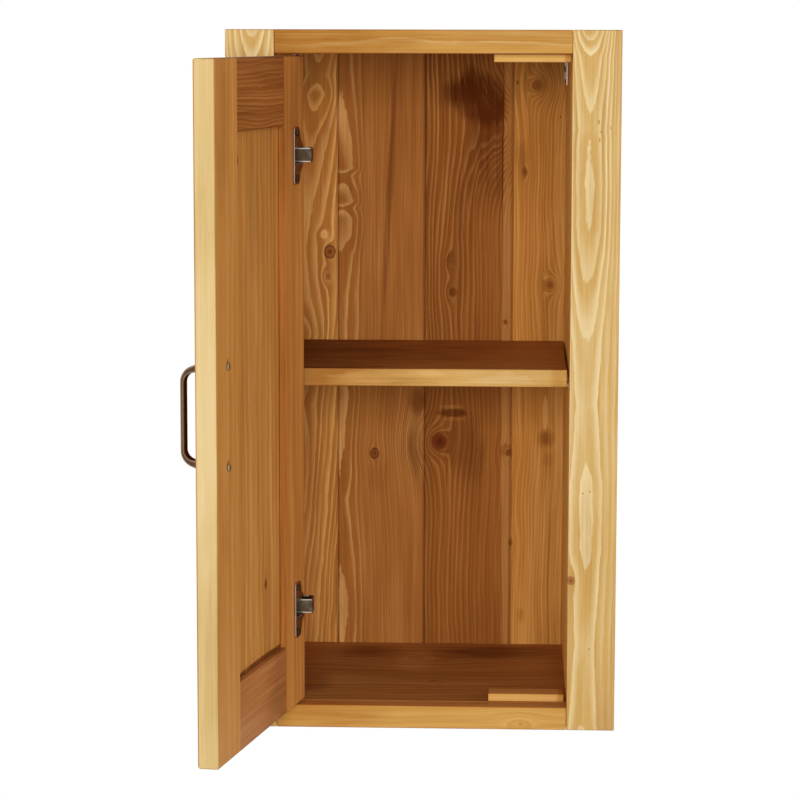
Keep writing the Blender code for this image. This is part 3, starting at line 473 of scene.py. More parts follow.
class CabinetColours(bpy.types.PropertyGroup):
    """Stains of the three finishes of pine, the inside and door ones darkened with painted shade, and the colours
    of the fittings, some with painted reflections and glints.
    """

    frame_base: colour_value("Frame Base", "Honey stain of the face frame", (0.598, 0.366, 0.114))
    frame_pale: colour_value("Frame Pale", "Pale late wood of the face frame", (0.81, 0.645, 0.352))
    frame_deep: colour_value("Frame Deep", "Darkest stain of the face frame", (0.36, 0.15, 0.03))
    # The carcass's stains are darker and redder than the frame's: partly a darker stain, partly painted shade of
    # the inside.
    inside_base: colour_value("Inside Base", "Stain of the carcass and its back", (0.365, 0.123, 0.0255))
    inside_pale: colour_value("Inside Pale", "Pale late wood of the carcass", (0.62, 0.30, 0.095))
    inside_deep: colour_value("Inside Deep", "Darkest stain of the carcass", (0.125, 0.029, 0.0063))
    # The door's stains are darker and browner than the frame's: painted shade on its inner face, which the light
    # only grazes.
    door_base: colour_value("Door Base", "Stain of the door", (0.52, 0.205, 0.041))
    door_pale: colour_value("Door Pale", "Pale late wood of the door", (0.70, 0.37, 0.11))
    door_deep: colour_value("Door Deep", "Darkest stain of the door", (0.19, 0.058, 0.010))
    # Darker, warmer colour of the frame's narrow edges, partly painted shade for edges that the lamps light less
    # than the face.
    frame_edge: colour_value("Frame Edge", "Narrow edges of the face frame", (0.46, 0.24, 0.065))
    # The shelf's front edge is paler than its top: the top's inside stains carry painted shade, the edge does not.
    inside_edge: colour_value("Inside Edge", "Front edge of the shelf", (0.60, 0.35, 0.098))
    door_edge: colour_value("Door Edge", "Free edge of the door", (0.66, 0.482, 0.205))
    knot_core: colour_value("Knot Core", "Heart of a knot", (0.22, 0.05, 0.012))
    frame_knot: colour_value("Frame Knot", "Heart of a knot in the face frame", (0.40, 0.12, 0.032))
    knot_rim: colour_value("Knot Rim", "Bark ring round a knot", (0.08, 0.019, 0.005))
    bronze: colour_value("Bronze", "Handle", (0.105, 0.059, 0.036))
    # Bright arrises of the handle: rubbed bronze together with a painted highlight.
    bronze_worn: colour_value("Worn Bronze", "Rubbed edges of the handle", (0.36, 0.25, 0.17))
    nickel: colour_value("Nickel", "Hinge cups and plates", (0.36, 0.27, 0.20))
    # Painted reflection: the hinge arms are dark as if mirroring a dim room in front of the cabinet.
    nickel_dark: colour_value("Dark Nickel", "Hinge arms", (0.09, 0.057, 0.032))
    # Bright arrises of the hinges: rubbed nickel together with painted glints.
    nickel_worn: colour_value("Worn Nickel", "Bright edges of the hinges", (0.75, 0.69, 0.63))
    # The hanger plates' dark brown stands partly as a painted reflection of the wood round them.
    steel: colour_value("Steel", "Hanger plates", (0.17, 0.09, 0.042))
    # Their bright cut edges are partly a painted highlight.
    steel_worn: colour_value("Worn Steel", "Bright edges of the hanger plates", (0.97, 0.84, 0.74))
    zinc: colour_value("Zinc", "Shelf pins and hinge pins", (0.86, 0.72, 0.64))
    zinc_worn: colour_value("Worn Zinc", "Bright edges of screws and pins", (0.85, 0.84, 0.82))
    floor: colour_value("Floor", "Plain pale floor", (0.90, 0.90, 0.89))


class CabinetStage(bpy.types.PropertyGroup):
    """Camera, lamps and floor."""

    lens: FloatProperty(name="Lens", description="Focal length on a 36 mm sensor", default=123.94)
    camera_place: FloatVectorProperty(
        name="Camera Place", description="Where the camera stands", default=(0.09374, -3.10067, 0.35813)
    )
    camera_turn: angle_value("Camera Turn", "Turn of the camera about the upright", 2.387)
    camera_tilt: angle_value("Camera Tilt", "Tilt of the camera up from straight down", 82.376)
    camera_roll: angle_value("Camera Roll", "Roll of the camera", 0.118)
    ambient: FloatProperty(name="Ambient", description="Light from all round", default=0.32)
    key: FloatProperty(name="Key", description="Power of the soft light in front", default=96.0)
    fill: FloatProperty(name="Fill", description="Power of each light at the sides", default=30.0)
    rear: FloatProperty(name="Rear", description="Power of the light behind", default=42.0)
    hang_height: length_value("Hang Height", "Cabinet's underside above the floor", 1.40)
    floor_size: length_value("Floor Size", "Width of the floor", 5.0)


def sizes():
    return bpy.context.scene.cabinet_sizes


def colours():
    return bpy.context.scene.cabinet_colours


# Shader nodes


class Value:
    """A socket to reckon with: each sum, difference, product or quotient adds a node to its tree."""

    def __init__(self, tree, socket):
        self.tree = tree
        self.socket = socket

    def __add__(self, other):
        return calc(self.tree, "ADD", self, other)

    def __sub__(self, other):
        return calc(self.tree, "SUBTRACT", self, other)

    def __rsub__(self, other):
        return calc(self.tree, "SUBTRACT", other, self)

    def __mul__(self, other):
        return calc(self.tree, "MULTIPLY", self, other)

    def __truediv__(self, other):
        return calc(self.tree, "DIVIDE", self, other)

    def __abs__(self):
        return calc(self.tree, "ABSOLUTE", self)


def feed(socket, value):
    """Links a socket, or sets its value."""
    if isinstance(value, Value):
        value.tree.links.new(value.socket, socket)
    elif socket.type == "RGBA" and len(value) == 3:
        socket.default_value = (*value, 1.0)
    else:
        socket.default_value = value


def node(tree, kind, values=(), **settings):
    made = tree.nodes.new(kind)
    for name, value in settings.items():
        setattr(made, name, value)
    for name, value in dict(values).items():
        feed(made.inputs[name], value)
    return made


def result(tree, kind, values=(), output=0, **settings):
    """One output of a new node."""
    return Value(tree, node(tree, kind, values, **settings).outputs[output])


def results(tree, made):
    """All the outputs of a node, by name."""
    return {socket.name: Value(tree, socket) for socket in made.outputs}


def calc(tree, operation, *values):
    """A math node, or a vector math node where a value is a vector or a colour."""
    kind = "ShaderNodeMath"
    for value in values:
        plain = value.socket.type == "VALUE" if isinstance(value, Value) else isinstance(value, (int, float))
        if not plain:
            kind = "ShaderNodeVectorMath"
    return result(tree, kind, enumerate(values), operation=operation)


def larger(first, second):
    return calc(first.tree, "MAXIMUM", first, second)


def root(value):
    return calc(value.tree, "SQRT", value)


def clamped(value):
    return result(value.tree, "ShaderNodeClamp", {0: value})


def ramp(value, start, end, low=0.0, high=1.0):
    """A smooth step from low at start to high at end."""
    values = {0: value, 1: start, 2: end, 3: low, 4: high}
    return result(value.tree, "ShaderNodeMapRange", values, interpolation_type="SMOOTHSTEP")


def blend(share, first, second):
    """A share of the second colour over the first."""
    return result(share.tree, "ShaderNodeMix", {0: share, 6: first, 7: second}, 2, data_type="RGBA")


def weighted(start, masks, weights):
    """A value with each mask added to it by its weight."""
    for name, weight in weights.items():
        start = masks[name] * weight + start
    return start


def split(vector):
    made = node(vector.tree, "ShaderNodeSeparateXYZ", {0: vector})
    return [Value(vector.tree, socket) for socket in made.outputs]


def joined(tree, x, y, z):
    return result(tree, "ShaderNodeCombineXYZ", {0: x, 1: y, 2: z})


def length_of(vector):
    return result(vector.tree, "ShaderNodeVectorMath", {0: vector}, "Value", operation="LENGTH")


def polyline(share, spots):
    """A line through (share, value) pairs, read at a share from 0 to 1."""
    curve = node(share.tree, "ShaderNodeFloatCurve", {"Value": share})
    line = curve.mapping.curves[0]
    line.points[0].location = spots[0]
    line.points[1].location = spots[-1]
    for spot in spots[1:-1]:
        line.points.new(*spot)
    for point in line.points:
        point.handle_type = "VECTOR"
    curve.mapping.update()
    return Value(share.tree, curve.outputs[0])


def noise(position, scale, seed, detail=2.0, rough=0.5):
    """Noise about 0, from -1 to 1, whose scale is a count per millimetre in each direction."""
    tree = position.tree
    place = position * scale + joined(tree, seed, seed, seed) * SEED_SHIFT
    values = {"Vector": place, "Scale": 1.0, "Detail": detail, "Roughness": rough}
    return result(tree, "ShaderNodeTexNoise", values) * NOISE_SPAN - NOISE_SPAN / 2


def new_group(name, inputs, outputs, tree_type="ShaderNodeTree"):
    """A node group, whose sockets are named by their kind."""
    group = bpy.data.node_groups.new(name, tree_type)
    for in_out, kinds in (("INPUT", inputs), ("OUTPUT", outputs)):
        for kind, labels in kinds.items():
            for label in labels.split(", "):
                group.interface.new_socket(label, in_out=in_out, socket_type="NodeSocket" + kind)
    given = results(group, node(group, "NodeGroupInput"))
    return group, given, node(group, "NodeGroupOutput").inputs


def use_group(tree, name, values):
    made = node(tree, "ShaderNodeGroup", values, node_tree=bpy.data.node_groups[name])
    return results(tree, made)


def build_knot_group():
    """One knot in a board: bends the grain round it, and adds its core, rim and halo to the masks."""
    group, given, out = new_group(
        "knot",
        {
            "Vector": "Position, Centre",
            "Float": "Lift, Core, Rim, Shade, Radius, Reach, Rings, Stretch, Tint, Bark, Pull, Seed",
        },
        {"Vector": "Position", "Float": "Lift, Core, Rim, Shade"},
    )
    tint = given["Tint"]
    x, _, z = split(given["Position"] - given["Centre"])
    along = z / given["Stretch"]
    square = x * x + along * along
    near = 1.0 - square / (square + given["Reach"] * given["Reach"])
    drawn = joined(group, x * (near * given["Pull"]), 0.0, 0.0)
    feed(out["Position"], given["Position"] - drawn)
    closeness = near * near
    feed(out["Lift"], given["Lift"] + closeness * given["Rings"])
    feed(out["Shade"], given["Shade"] - closeness * tint * KNOT_HALO)
    low = z * KNOT_SQUASH
    ragged = noise(given["Position"], (0.3, 0.3, 0.3), given["Seed"])
    share = root(x * x + low * low) / given["Radius"] + ragged * KNOT_RAGGED
    feed(out["Core"], larger(given["Core"], ramp(share, *CORE_FADE) * tint))
    rim = ramp(abs(share - KNOT_RIM), *RIM_FADE) * (tint * given["Bark"])
    pith = ramp(share, *PITH_FADE) * (tint * KNOT_PITH)
    feed(out["Rim"], larger(given["Rim"], larger(rim, pith)))


def build_mark_group():
    """A patch of darker or paler stain, painted light or painted shade, added to the shade so far."""
    group, given, out = new_group(
        "stain_mark",
        {"Vector": "Position, Centre, Extent", "Float": "Shade, Lean, Softness, Strength, Seed"},
        {"Float": "Shade"},
    )
    x, _, z = split(given["Position"] - given["Centre"])
    share = joined(group, x - z * given["Lean"], 0.0, z) / given["Extent"]
    ragged = noise(given["Position"], (0.09, 0.09, 0.02), given["Seed"], 3.0) * given["Softness"]
    distance = length_of(share) + ragged * MARK_RAGGED
    outer = given["Softness"] * MARK_OUTWARD + 1.0
    inner = given["Softness"] * -MARK_INWARD + 1.0
    feed(out["Shade"], given["Shade"] + ramp(distance, outer, inner) * given["Strength"])


def build_rings_group():
    """Year rings round a heart: each ring pales slowly outwards and ends in a sharp edge."""
    group, given, out = new_group(
        "year_rings",
        {
            "Vector": "Position",
            "Float": "Lift, Heart, Lean, Depth, Calm, Face, Ring, Crowd, Wander, Uneven, Spread, Far, Seed",
        },
        {"Float": "Late, Tone"},
    )
    position = given["Position"]
    seed = given["Seed"]
    x, y, z = split(position)
    drift = noise(position, (0.012, 0.012, 0.0045), seed, 1.0)
    sway = noise(position, (0.03, 0.03, 0.011), seed + 5.0, 1.0)
    shift = (sway * RING_SWAY + drift) * given["Wander"]
    across = x - (z * given["Lean"] + given["Heart"]) + shift
    aside = abs(across)
    under = (given["Calm"] - given["Depth"]) * ramp(aside, *CALM_REACH) + given["Depth"]
    through = under + (y - given["Face"])
    distance = root(across * across + through * through)
    crowded = distance / given["Crowd"]
    count = distance / given["Ring"] + crowded * crowded

    # Rings of uneven width, with ripples and small jags
    values = {"W": count + seed * 7.0, "Scale": 0.4, "Detail": 1.0}
    uneven = result(group, "ShaderNodeTexNoise", values, noise_dimensions="1D")
    ripple = noise(position, (0.11, 0.11, 0.028), seed + 9.0)
    jagged = noise(position, (0.3, 0.3, 0.16), seed + 2.0)
    phase = count + uneven * given["Uneven"] + given["Lift"] + ripple * RING_RIPPLE + jagged * RING_JAG

    # Each ring has a start, a strength and a tone of its own
    index = calc(group, "FLOOR", phase) + seed * 31.0
    chance = results(group, node(group, "ShaderNodeTexWhiteNoise", {"W": index}, noise_dimensions="1D"))
    _, vigour, tone = split(chance["Color"])
    part = calc(group, "FRACT", phase)
    rise = ramp(part, chance["Value"] * RING_DELAY + RING_START, RING_PEAK)
    drop = ramp(part, RING_DROP, 1.0, 1.0, 0.0)
    fading = ramp(aside, given["Spread"] * SPREAD_START, given["Spread"]) * (1.0 - given["Far"])
    fading = fading * (1.0 - clamped(abs(given["Lift"])))
    patchy = noise(position, (0.03, 0.03, 0.008), seed + 6.0)
    strength = (vigour * 0.5 + 0.5) * (1.0 - fading) * (patchy * RING_PATCHES + RING_STRENGTH)
    feed(out["Late"], rise * drop * strength)
    feed(out["Tone"], tone * 2.0 - 1.0)


def build_fibre_group():
    """Fine streaks along the grain, slow clouds of stain, and short resin pores."""
    _, given, out = new_group(
        "pine_fibre", {"Vector": "Position", "Float": "Seed"}, {"Float": "Streak, Cloud, Pore"}
    )
    position = given["Position"]
    seed = given["Seed"]
    fine = noise(position, (0.5, 0.5, 0.010), seed, 3.0, 0.6)
    broad = noise(position, (0.16, 0.16, 0.004), seed)
    short = noise(position, (1.7, 1.7, 0.12), seed + 3.0, 1.0)
    feed(out["Streak"], fine * 0.75 + broad * 0.45)
    feed(out["Cloud"], noise(position, (0.03, 0.03, 0.006), seed))
    feed(out["Pore"], ramp(short, 0.62, 0.85))


def build_faces_group():
    """Where a point lies on a board: darker arrises in a ragged width, narrow edges, and end grain."""
    group, given, out = new_group(
        "board_faces",
        {"Vector": "Position, Half", "Float": "Side, Seed"},
        {"Float": "Wear, Edge, End, Outer"},
    )
    position = given["Position"]
    x, y, z = split(given["Half"] - abs(position))
    lower = calc(group, "MINIMUM", x, y)
    middle = larger(lower, calc(group, "MINIMUM", larger(x, y), z))
    ragged = noise(position, (0.06, 0.06, 0.03), given["Seed"], 3.0, 0.6)
    feed(out["Wear"], ramp(middle, (ragged * 0.6 + 1.0) * ARRIS_BAND_WIDTH, 0.0))
    feed(out["Edge"], ramp(x, *FACE_SKIN))
    feed(out["End"], ramp(z, *FACE_SKIN))
    under = split(given["Half"])[1] - split(position)[1] * given["Side"]
    feed(out["Outer"], ramp(under, *FACE_SKIN))


def build_stain_group():
    """Colour, roughness and height of stained, lacquered pine from its masks."""
    _, given, out = new_group(
        "stained_pine",
        {
            "Color": "Base, Pale, Deep, Knot, Bark, Edge, Edge Pale, Edge Deep",
            "Vector": "Cast",
            "Float": "Late, Contrast, Tone, Shade, Streak, Cloud, Pore, Core, Rim, Wear, End, Edge Share",
        },
        {"Color": "Colour", "Float": "Roughness, Height"},
    )
    edge = given["Edge Share"]
    colour = blend(given["Late"] * given["Contrast"], given["Base"], given["Pale"])
    colour = blend(edge, colour, given["Edge"])
    pale = blend(edge, given["Pale"], given["Edge Pale"])
    deep = blend(edge, given["Deep"], given["Edge Deep"])
    shade = weighted(given["Shade"], given, SHADE_WEIGHTS)
    colour = blend(clamped(shade * -1.0), colour, deep)
    colour = blend(clamped(shade), colour, pale)
    colour = blend(given["Core"] * CORE_COVER, colour, given["Knot"])
    colour = blend(given["Rim"] * RIM_COVER, colour, given["Bark"])
    feed(out["Colour"], colour * given["Cast"])
    feed(out["Roughness"], weighted(SATIN, given, ROUGH_WEIGHTS))
    feed(out["Height"], weighted(0.0, given, HEIGHT_WEIGHTS))


def build_metal_group():
    """Tone, roughness and height of a plated surface: soft clouds, brushed lines and small pits."""
    _, given, out = new_group(
        "plated_metal",
        {"Vector": "Position", "Color": "Base, Bright", "Float": "Arris, Rough, Brush, Seed"},
        {"Color": "Colour", "Float": "Roughness, Height"},
    )
    position = given["Position"]
    seed = given["Seed"]
    cloud = noise(position, (0.16, 0.16, 0.16), seed, 3.0)
    brush = noise(position, (5.0, 5.0, 0.15), seed)
    pits = ramp(noise(position, (1.1, 1.1, 1.1), seed), 0.55, 0.8)
    lines = brush * given["Brush"]
    tone = cloud * CLOUD_TONE + pits * PIT_TONE + lines * LINE_TONE + given["Arris"] * ARRIS_TONE
    feed(out["Colour"], blend(clamped(tone), given["Base"], given["Bright"]))
    feed(out["Roughness"], given["Rough"] + cloud * 0.06 + brush * 0.04)
    feed(out["Height"], lines * 0.4 - pits * 0.3)


def build_groups():
    build_knot_group()
    build_mark_group()
    build_rings_group()
    build_fibre_group()
    build_faces_group()
    build_stain_group()
    build_metal_group()


# Materials


def place_of(node_name):
    return DOOR_PLACE if BODY_OF[node_name] == "door" else CARCASS_PLACE


def local_box(node_name):
    """Lowest and highest corner of a node, measured in its body's own place."""
    inverse = place_of(node_name).inverted()
    points = [inverse @ v.co for v in frame["nodes"][node_name].data.vertices]
    low = Vector([min(p[i] for p in points) for i in range(3)])
    high = Vector([max(p[i] for p in points) for i in range(3)])
    return low, high


def board_place(node_name, lie):
    """Where a board's own directions lie in the world, and its half sizes in millimetres."""
    low, high = local_box(node_name)
    directions = Matrix(LIES[lie]).transposed()
    place = place_of(node_name) @ Matrix.Translation((low + high) / 2) @ directions.to_4x4()
    half = [abs(Vector(direction).dot(high - low)) / 2 / MILLIMETRE for direction in LIES[lie]]
    return place, half


def new_material(name):
    made = bpy.data.materials.new(name)
    made.use_nodes = True
    tree = made.node_tree
    return made, tree, tree.nodes["Principled BSDF"]


def object_position(tree, place):
    """Object coordinates turned into millimetres from a place's own origin and directions."""
    values = {
        "Vector": result(tree, "ShaderNodeTexCoord", output="Object"), "Location": place.to_translation(),
        "Rotation": place.to_euler(), "Scale": (MILLIMETRE,) * 3,
    }
    return result(tree, "ShaderNodeMapping", values, vector_type="TEXTURE")


def finish_surface(tree, shader, look, relief):
    """Feeds a group's colour, roughness and height to the shader."""
    feed(shader.inputs["Base Color"], look["Colour"])
    feed(shader.inputs["Roughness"], look["Roughness"])
    values = {"Height": look["Height"], "Strength": relief, "Distance": RELIEF_DEPTH}
    feed(shader.inputs["Normal"], result(tree, "ShaderNodeBump", values))


def heart_depth(along, course, half):
    """Depth of the heart along a board, as a line through the course's pairs, and its mean."""
    if isinstance(course, float):
        return course, course
    depths = [under for _, under in course]
    deepest = max(depths)
    spots = sorted((0.5 + 0.5 * up / half, under / deepest) for up, under in course)
    return polyline(along * (0.5 / half) + 0.5, spots) * deepest, sum(depths) / len(depths)


def picked(source, names):
    """Values of a knot or grain by the names of the sockets that take them."""
    return {name: getattr(source, name.lower()) for name in names.split()}


def stains(grain, outer, edge):
    """A board's stains, those of the face frame on an outer face, and the colour multiplier of the board and of
    the frame's edges, with its painted light.
    """
    palette = colours()
    made = {name: getattr(palette, f"{grain.finish}_{name.lower()}") for name in ("Base", "Pale", "Deep")}
    made["Cast"] = grain.cast
    if grain.outer:
        for name in ("Base", "Pale", "Deep"):
            made[name] = blend(outer, made[name], getattr(palette, "frame_" + name.lower()))
        made["Cast"] = blend(outer, grain.cast, OUTER_PAINTED_LIGHT)
    elif grain.finish == "frame":
        narrow = OUTER_PAINTED_LIGHT if grain.lie == "upright" else RAIL_EDGE_CAST
        made["Cast"] = blend(edge, grain.cast, narrow)
    return made


def pine(node_name, grain):
    """Stained pine with one board's own rings, knots and marks, some of which are painted light and shade."""
    made, tree, shader = new_material("pine_" + node_name)
    place, half = board_place(node_name, grain.lie)
    position = object_position(tree, place)
    values = {"Position": position, "Half": half, "Side": grain.outer, "Seed": grain.seed}
    faces = use_group(tree, "board_faces", values)
    shade = faces["Edge"] * min(grain.edge, 0.0) + grain.tone
    path = {"Position": position, "Lift": 0.0, "Core": 0.0, "Rim": 0.0, "Shade": shade}
    for i, knot in enumerate(grain.knots):
        values = {"Centre": (knot.across, 0.0, knot.along), "Rings": knot.lift, "Seed": grain.seed + i}
        values.update(picked(knot, "Radius Reach Stretch Tint Bark Pull"))
        path = use_group(tree, "knot", {**path, **values})
    shade = path["Shade"]
    for i, mark in enumerate(grain.marks):
        values = {
            "Position": position, "Shade": shade, "Centre": (mark.across, 0.0, mark.along),
            "Extent": (mark.width, 1.0, mark.length), "Lean": mark.lean, "Softness": mark.soft,
            "Strength": mark.shade, "Seed": grain.seed + i,
        }
        shade = use_group(tree, "stain_mark", values)["Shade"]
    along = split(position)[2]
    depth, calm = heart_depth(along, grain.depth, half[2])
    bent = path["Position"]
    values = {"Position": bent, "Lift": path["Lift"], "Depth": depth, "Calm": calm, "Face": -half[1]}
    values.update(picked(grain, "Heart Lean Ring Crowd Wander Uneven Spread Far Seed"))
    rings = use_group(tree, "year_rings", values)
    fibre = use_group(tree, "pine_fibre", {"Position": bent, "Seed": grain.seed})
    outer = faces["Outer"]
    if grain.outer:
        shade = shade * (outer * -OUTER_CALM + 1.0)
        if grain.finish == "inside":
            outer = larger(outer, faces["Edge"])
    palette = colours()
    values = {
        **stains(grain, outer, faces["Edge"]), **rings, **fibre, "Shade": shade,
        "Contrast": along * (grain.late * grain.rise) + grain.late,
        "Knot": palette.frame_knot if grain.finish == "frame" else palette.knot_core,
        "Bark": palette.knot_rim, "Core": path["Core"], "Rim": path["Rim"], "Wear": faces["Wear"],
        "End": faces["End"], "Edge": getattr(palette, grain.finish + "_edge"),
        "Edge Share": faces["Edge"] * max(grain.edge, 0.0), "Edge Pale": palette.frame_pale,
        "Edge Deep": palette.frame_deep,
    }
    finish_surface(tree, shader, use_group(tree, "stained_pine", values), WOOD_RELIEF)
    shader.inputs["Specular IOR Level"].default_value = WOOD_SPECULAR
    return made


def plated(name):
    """Plated or patinated metal, made once."""
    if name in bpy.data.materials:
        return bpy.data.materials[name]
    made, tree, shader = new_material(name)
    base, bright, rough, brush, seed = METALS[name]
    wear_and_glint = getattr(colours(), bright)
    values = {
        "Position": object_position(tree, CARCASS_PLACE),
        "Arris": result(tree, "ShaderNodeAttribute", output="Fac", attribute_name="arris"),
        "Base": getattr(colours(), base), "Bright": wear_and_glint, "Rough": rough, "Brush": brush, "Seed": seed,
    }
    finish_surface(tree, shader, use_group(tree, "plated_metal", values), METAL_RELIEF)
    shader.inputs["Metallic"].default_value = 1.0
    shader.inputs["Specular Tint"].default_value = (*wear_and_glint, 1.0)
    return made


# Meshes


def plain_mesh(shape, name):
    """A new mesh with nothing but the points and faces of a bmesh."""
    shape.verts.index_update()
    mesh = bpy.data.meshes.new(name)
    mesh.from_pydata([v.co[:] for v in shape.verts], [], [[v.index for v in f.verts] for f in shape.faces])
    shape.free()
    return mesh


def merged_copy(node_name):
    """A node's solid as a new mesh, with its doubles merged and its flat faces made whole."""
    shape = bmesh.new()
    shape.from_mesh(frame["nodes"][node_name].data)
    bmesh.ops.remove_doubles(shape, verts=shape.verts, dist=MERGE)
    bmesh.ops.dissolve_limit(shape, angle_limit=FLAT_ANGLE, verts=shape.verts, edges=shape.edges)
    return plain_mesh(shape, node_name)


def evaluated_mesh(obj):
    """What an object's modifiers make of it, as a plain mesh. The object is removed."""
    graph = bpy.context.evaluated_depsgraph_get()
    mesh = bpy.data.meshes.new_from_object(obj.evaluated_get(graph))
    bpy.data.objects.remove(obj)
    return mesh


def eased(mesh, width, shortest):
    """The mesh with its long outer arrises rounded."""
    shape = bmesh.new()
    shape.from_mesh(mesh)
    weights = []
    for edge in shape.edges:
        outer = len(edge.link_faces) == 2 and edge.is_convex and edge.calc_face_angle() > ARRIS_ANGLE
        weights.append(1.0 if outer and edge.calc_length() > shortest else 0.0)
    shape.free()
    attribute = mesh.attributes.new("bevel_weight_edge", "FLOAT", "EDGE")
    attribute.data.foreach_set("value", weights)
    mesh.shade_smooth()
    mesh.set_sharp_from_angle(angle=ARRIS_ANGLE)
    obj = bpy.data.objects.new(mesh.name, mesh)
    bpy.context.scene.collection.objects.link(obj)
    bevel = obj.modifiers.new("ease", "BEVEL")
    bevel.width = width
    bevel.segments = sizes().ease_steps
    bevel.limit_method = "WEIGHT"
    bevel.harden_normals = True
    bevel.use_clamp_overlap = False
    for _ in range(2):
        mesh.materials.append(None)
    bevel.material = 1
    made = evaluated_mesh(obj)
    arris = made.attributes.new("arris", "FLOAT", "FACE")
    arris.data.foreach_set("value", [float(face.material_index) for face in made.polygons])
    made.polygons.foreach_set("material_index", [0] * len(made.polygons))
    return made


def joined_mesh(first, second, operation):
    """A boolean of two meshes."""
    tool = bpy.data.objects.new("tool", second)
    obj = bpy.data.objects.new(first.name, first)
    for each in (tool, obj):
        bpy.context.scene.collection.objects.link(each)
    cut = obj.modifiers.new("cut", "BOOLEAN")
    cut.operation = operation
    cut.object = tool
    made = evaluated_mesh(obj)
    bpy.data.objects.remove(tool)
    return made


def piece(name, mesh, material, body, replaced):
    """A finished piece that rides on a body and stands for its solids."""
    obj = bpy.data.objects.new(name, mesh)
    bpy.context.scene.collection.objects.link(obj)
    mesh.materials.clear()
    mesh.materials.append(material)
    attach(obj, body)
    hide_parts(*replaced)
    return obj


def kept_inside(mesh, node_name):
    """Draws points that the rounding pushed out back to the box of the node's solid."""
    place = place_of(node_name)
    inverse = place.inverted()
    low, high = local_box(node_name)
    for vertex in mesh.vertices:
        spot = inverse @ vertex.co
        vertex.co = place @ Vector([min(max(spot[i], low[i]), high[i]) for i in range(3)])


def widen(mesh, limit):
    """Moves points beyond a distance from the middle out to the sides, to close the fit."""
    for vertex in mesh.vertices:
        if abs(vertex.co.x) > limit:
            vertex.co.x = math.copysign(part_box("side_panel_right")[0].x, vertex.co.x)


def wooden(node_name, ease, trim=None, reach=None):
    """A board made from its solid, with eased arrises.

    A trim is a slab that its corners are cut to, and a reach is how far out it is drawn to the sides.
    """
    grain = BOARDS[node_name]
    mesh = merged_copy(node_name)
    if reach:
        widen(mesh, reach)
    if trim:
        mesh = joined_mesh(mesh, trim, "INTERSECT")
    mesh = eased(mesh, ease, sizes().shortest_arris)
    if trim:
        kept_inside(mesh, node_name)
    return piece("pine_" + node_name, mesh, pine(node_name, grain), BODY_OF[node_name], [node_name])


def pressed(node_name, material, ease):
    mesh = eased(merged_copy(node_name), ease, ease * 2)
    return piece("pressed_" + node_name, mesh, material, BODY_OF[node_name], [node_name])


def arc_corners(corners, steps):
    """An outline through corners (x, y, radius), each rounded by an arc of its radius."""
    points = []
    for i, (x, y, radius) in enumerate(corners):
        here = Vector((x, y))
        if radius == 0.0:
            points.append(here)
            continue
        before = (Vector(corners[i - 1][:2]) - here).normalized()
        after = (Vector(corners[(i + 1) % len(corners)][:2]) - here).normalized()
        half = before.angle(after) / 2
        centre = here + (before + after).normalized() * radius / math.sin(half)
        start = here + before * radius / math.tan(half) - centre
        end = here + after * radius / math.tan(half) - centre
        turn = start.angle_signed(end)
        for step in range(steps + 1):
            spoke = start.copy()
            spoke.rotate(Matrix.Rotation(-turn * step / steps, 2))
            points.append(centre + spoke)
    return points


# Geometry nodes

# Stations up a screw and a pin, from tip to crown: shares of shank radius, head radius, length and crown
SCREW_STATIONS = (
    (0.02, 0.0, 1.0, 0.0), (0.5, 0.0, 0.9, 0.0), (1.0, 0.0, 0.8, 0.0), (1.0, 0.0, 0.0, 0.0),
    (0.0, 1.0, 0.0, 0.0), (0.0, 1.0, 0.0, 0.35), (0.0, 0.96, 0.0, 0.55), (0.0, 0.82, 0.0, 0.78),
    (0.0, 0.55, 0.0, 0.95), (0.0, 0.02, 0.0, 1.0),
)
PIN_STATIONS = (
    (0.02, 0.0, 1.0, 0.0), (0.8, 0.0, 1.0, 0.0), (1.0, 0.0, 0.93, 0.0), (1.0, 0.0, 0.0, 0.0),
    (0.0, 1.0, 0.0, 0.0), (0.0, 1.0, 0.0, 0.1), (1.0, 0.0, 0.0, 0.13), (1.0, 0.0, 0.0, 0.9),
    (0.75, 0.0, 0.0, 1.0), (0.02, 0.0, 0.0, 1.0),
)


